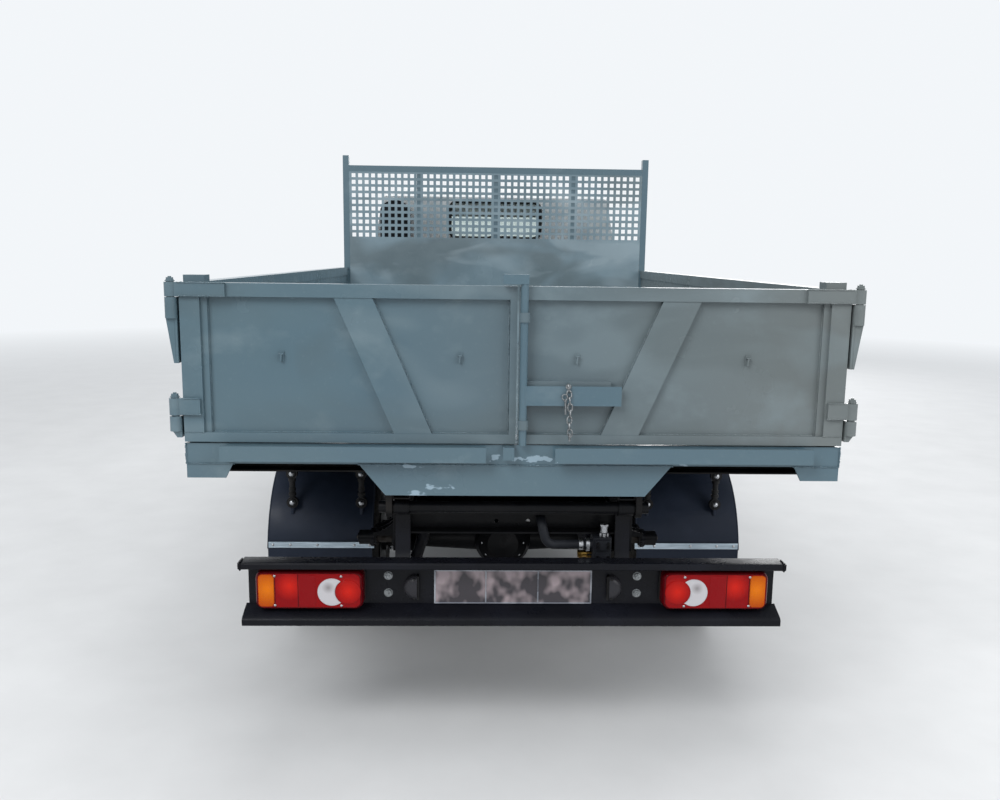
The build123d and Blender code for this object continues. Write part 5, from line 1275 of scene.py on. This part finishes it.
def interior():
    hood = [(2240, 1286), (2290, 1340), (2330, 1352), (2420, 1330), (2420, 1286)]
    parts = [
        (add_outline, hood, running_across(-640), 420, 10),
        (add_block, (60, 640), (2288, 2300), (1080, 1230), 8),
        (add_block, (-90, 20), (2284, 2300), (1090, 1260), 8),
    ]
    solid("instrument_hood", "moulding", "cab", parts)
    for x, radius in ((-520, 46), (-410, 46), (-320, 26)):
        profile = [(0, radius), (3, radius), (3, radius - 4), (1, radius - 6), (1, 0)]
        dial = lathe_mesh("dial", profile, (x, 2292, 1300), "Y", 36, -1)
        as_piece(f"dial_{abs(x)}", dial, "chrome", "cab")
    parts = [
        (add_bar, (-60, 2180, 660), (-40, 2080, 1010), 9, 14),
        (add_bar, (-40, 2080, 1000), (-38, 2072, 1050), 22, 20, 16),
    ]
    for x in (-540, -440, -330):
        parts.append((add_bar, (x, 2330, 900), (x, 2270, 730), 7, 10))
        parts.append((add_block, (x - 28, x + 28), (2262, 2276), (700, 770), 3))
    solid("pedals_and_lever", "moulding", "cab", parts)


# Seats: each has its span across the cab and the middles of its head rests
SEAT_TABLE = (((-690, -190), (-440,)), ((-130, 690), (60, 500)))
# Pads: columns and rows of the mesh, then rounding and pull as shares of a side, then the sewing
PAD_COLUMNS, PAD_ROWS = 36, 30
PAD_EDGE, CORNER_PULL = 0.16, 0.12
CHANNEL_DEPTH, CHANNEL_HALF, PUCKER = 11, 0.03, 3.5


def seat_pad(name, u_span, v_span, thickness, place, channels):
    """An upholstered pad: crowned between its edges, with sewn channels and a soft uneven top."""
    verts, faces = [], []
    (low_u, high_u), (low_v, high_v) = u_span, v_span
    middle_u, middle_v = (low_u + high_u) / 2, (low_v + high_v) / 2
    for layer in (0, 1):
        for row in range(PAD_ROWS + 1):
            for column in range(PAD_COLUMNS + 1):
                s, t = column / PAD_COLUMNS, row / PAD_ROWS
                edge = min(s, 1 - s, t, 1 - t)
                corner = 1 - CORNER_PULL * (abs(2 * s - 1) * abs(2 * t - 1)) ** 6
                crown = 0
                if layer:
                    crown = thickness * (1 - (1 - min(edge / PAD_EDGE, 1)) ** 2.4)
                    for channel in channels:
                        sunk = max(0.0, 1 - abs(t - channel) / CHANNEL_HALF) ** 2
                        crown -= CHANNEL_DEPTH * sunk * (edge > 0.05)
                    pucker = noise.noise(Vector((s * 5 + low_u * 0.01, t * 5, 0.3)))
                    crown += PUCKER * pucker * (edge > 0.02)
                u = middle_u + (low_u + (high_u - low_u) * s - middle_u) * corner
                v = middle_v + (low_v + (high_v - low_v) * t - middle_v) * corner
                verts.append(Vector(place(u, v, crown)) * MM)
    width = PAD_COLUMNS + 1
    layer_size = width * (PAD_ROWS + 1)
    for row in range(PAD_ROWS):
        for column in range(PAD_COLUMNS):
            base = row * width + column
            quad = (base, base + 1, base + width + 1, base + width)
            faces.append(tuple(index + layer_size for index in quad))
            faces.append(quad[::-1])
    rim = list(range(PAD_COLUMNS))
    rim += [row * width + PAD_COLUMNS for row in range(PAD_ROWS)]
    rim += [PAD_ROWS * width + column for column in range(PAD_COLUMNS, 0, -1)]
    rim += [row * width for row in range(PAD_ROWS, 0, -1)]
    for index, first in enumerate(rim):
        after = rim[(index + 1) % len(rim)]
        faces.append((first, after, after + layer_size, first + layer_size))
    mesh = bpy.data.meshes.new(name)
    mesh.from_pydata(verts, [], faces)
    form = bmesh.new()
    form.from_mesh(mesh)
    bmesh.ops.recalc_face_normals(form, faces=form.faces)
    form.to_mesh(mesh)
    form.free()
    mesh.shade_smooth()
    piece = as_piece(name, mesh, "cloth", "cab")
    smooth = piece.modifiers.new("smooth", "SUBSURF")
    smooth.levels = smooth.render_levels = 1
    return piece


def on_seat_base(u, v, depth):
    return (u, v, 900 + (v - 1290) * 0.045 + depth)


def on_seat_back(u, v, depth):
    return (u, 1218 + (v - 900) * -0.2 + depth, v)


def on_head_rest(u, v, depth):
    return (u, 1048 + depth - (v - 1620) * 0.1, v)


def seats():
    shell_side = [(1196, 797), (1796, 797), (1822, 920), (1290, 897), (1160, 1585), (1052, 1578), (1118, 860)]
    for index, (span_x, heads) in enumerate(SEAT_TABLE):
        low_x, high_x = span_x
        base = seat_pad(f"seat_base_{index}", span_x, (1285, 1825), 62, on_seat_base, (0.3, 0.62))
        back = seat_pad(f"seat_back_{index}", span_x, (960, 1560), 60, on_seat_back, (0.3, 0.55, 0.8))
        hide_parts("seats")
        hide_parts("seats")
        parts = [(add_outline, shell_side, running_across(low_x + 6), high_x - low_x - 12, 14)]
        shell = solid(f"seat_shell_{index}", "moulding", "cab", parts)
        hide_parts("seats")
        for number, x in enumerate(heads):
            posts = []
            for post_x in (x - 60, x + 60):
                posts.append((add_bar, (post_x, 1090, 1575), (post_x, 1082, 1640), 6, 12))
            solid(f"head_posts_{index}_{number}", "chrome", "cab", posts)
            rest_x = (x - 125, x + 125)
            seat_pad(f"head_rest_{index}_{number}", rest_x, (1618, 1780), 62, on_head_rest, ())


# Running gear: spring clips, hanger pins, axle cover bolts, frame rivets, tank and box fittings
PIN_Z = 556
WEB_SIDE = 410.5
# Columns: axle station, low and high edge of the spring across, foot and head of the clip
CLIP_TABLE = ((AXLE_REAR, 450, 510, 300, 446), (AXLE_FRONT, 345, 405, 300, 388))


def running_gear():
    parts, nuts = [], []
    for axle_y, x_low, x_high, low_z, high_z in CLIP_TABLE:
        for side in (-1, 1):
            legs = (side * (x_low - 8), side * (x_high + 8))
            for y in (axle_y - 30, axle_y + 30):
                for x in legs:
                    parts.append((add_bar, (x, y, low_z), (x, y, high_z), 7, 12))
                    nuts.append(((x, y, low_z - 2), DOWNWARD))
                parts.append((add_bar, (legs[0], y, high_z), (legs[1], y, high_z), 7, 12))
            span_x, span_y = (side * (x_low - 20), side * (x_high + 20)), (axle_y - 46, axle_y + 46)
            parts.append((add_block, span_x, span_y, (low_z + 4, low_z + 14), 2))
    solid("spring_clips", "chassis", "chassis", parts)
    dotted("spring_clip_nuts", BOLTS, nuts, "zinc", "chassis", Head_radius=0.011, Head_height=0.012)
    # Pin ends that step down outside the hanger bosses
    parts, ends, rivets = [], [], []
    for side in (-1, 1):
        outward = (side, 0, 0)
        for y in (AXLE_REAR - 700, AXLE_REAR + 700):
            for start, stop, radius in ((519, 530, 36), (530, 534, 32), (577, 582, 18)):
                parts.append((add_bar, (side * start, y, PIN_Z), (side * stop, y, PIN_Z), radius, 28))
            ends.append(((side * 582, y, PIN_Z), outward))
        for y in range(-2400, 440, 110):
            rivets += [((side * WEB_SIDE, y, z), outward) for z in (756, 664)]
    solid("hanger_pins", "bumper", "chassis", parts)
    dotted("hanger_pin_nuts", BOLTS, ends, "iron", "chassis", Head_radius=0.008, Head_height=0.004)
    bolts = [((x, AXLE_REAR - 108, z), REARWARD) for x, z in circle_points(0, AXLE_Z, 92, steps=10)]
    dotted("axle_cover_bolts", BOLTS, bolts, "zinc", "chassis", Head_radius=0.007, Head_height=0.006)
    dotted("frame_rivets", RIVETS, rivets, "chassis", "chassis", Head_radius=0.009)
    parts = []
    for y in (-180, 230):
        for span_x, span_z in (((440, 690), (438, 442)), ((424, 690), (698, 702)), ((698, 703), (480, 662))):
            parts.append((add_block, span_x, (y - 18, y + 18), span_z, 1))
    parts.append((add_bar, (640, 60, 700), (640, 60, 722), 36, 30))
    parts.append((add_bar, (640, 60, 722), (640, 60, 730), 40, 30))
    solid("tank_straps", "chassis", "chassis", parts)
    parts = []
    for y in (20, 250):
        parts.append((add_block, (-652, -648), (y - 14, y + 14), (585, 640), 2))
        parts.append((add_block, (-656, -650), (y - 8, y + 8), (600, 628), 2))
    solid("battery_latches", "zinc", "chassis", parts)


def valve_fittings():
    """Nut and sleeve on the top port, a band on the hose, a brass elbow and its two nipples."""
    parts = []
    for low, high, radius, sides in ((700, 712, 17, 6), (712, 738, 12.5, 20), (736, 742, 15, 6)):
        parts.append((add_bar, (311, -2478, low), (311, -2478, high), radius, sides))
    for low, high, radius in ((226, 240, 19), (250, 262, 23)):
        parts.append((add_bar, (low, -2475, 668), (high, -2475, 668), radius, 24))
    parts.append((add_block, (252, 260), (-2504, -2494), (660, 676), 1))
    solid("valve_fittings", "zinc", "chassis", parts)
    parts = []
    for low, high, radius, sides in ((256, 272, 17, 6), (236, 257, 12.5, 20), (226, 238, 15, 6)):
        parts.append((add_bar, (low, -2450, 628), (high, -2450, 628), radius, sides))
    for x in (236, 262):
        for high, low, radius, sides in ((622, 600, 6.5, 14), (606, 598, 9, 6)):
            parts.append((add_bar, (x, -2450, high), (x, -2450, low), radius, sides))
    solid("valve_brass", "brass", "chassis", parts)
    bolts = [((x, -2508, z), REARWARD) for x in (288, 324) for z in (620, 632, 668, 680)]
    dotted("valve_bolts", BOLTS, bolts, "chassis", "chassis", Head_radius=0.005, Head_height=0.006)


def bed_side_trim():
    hooks, welds = [], []
    for side in (-1, 1):
        for y in range(-2090, 311, 400):
            hooks.append((add_bar, (side * 1044, y, 1028), (side * 1049, y, 1000), 5, 10))
            hooks.append((add_bar, (side * 1049, y, 1002), (side * 1049, y + 45, 1002), 5, 10))
        for rib_y in range(-2290, 511, 400):
            for y in (rib_y - 30, rib_y + 30):
                welds.append([(side * 1011, y, 1090), (side * 1011, y, 1498)])
    solid("rope_hooks", "bed_paint", "bed", hooks)
    lined("side_welds", WELDS, welds, "bed_paint", "bed", Bead_radius=0.003, Pitch=0.008, Seed=9)


window_seals()
wipers()
headlamps()
grille()
mirrors_and_handles()
cab_roof_trim()
front_bumper_trim()
interior()
seats()
running_gear()
valve_fittings()
bed_side_trim()
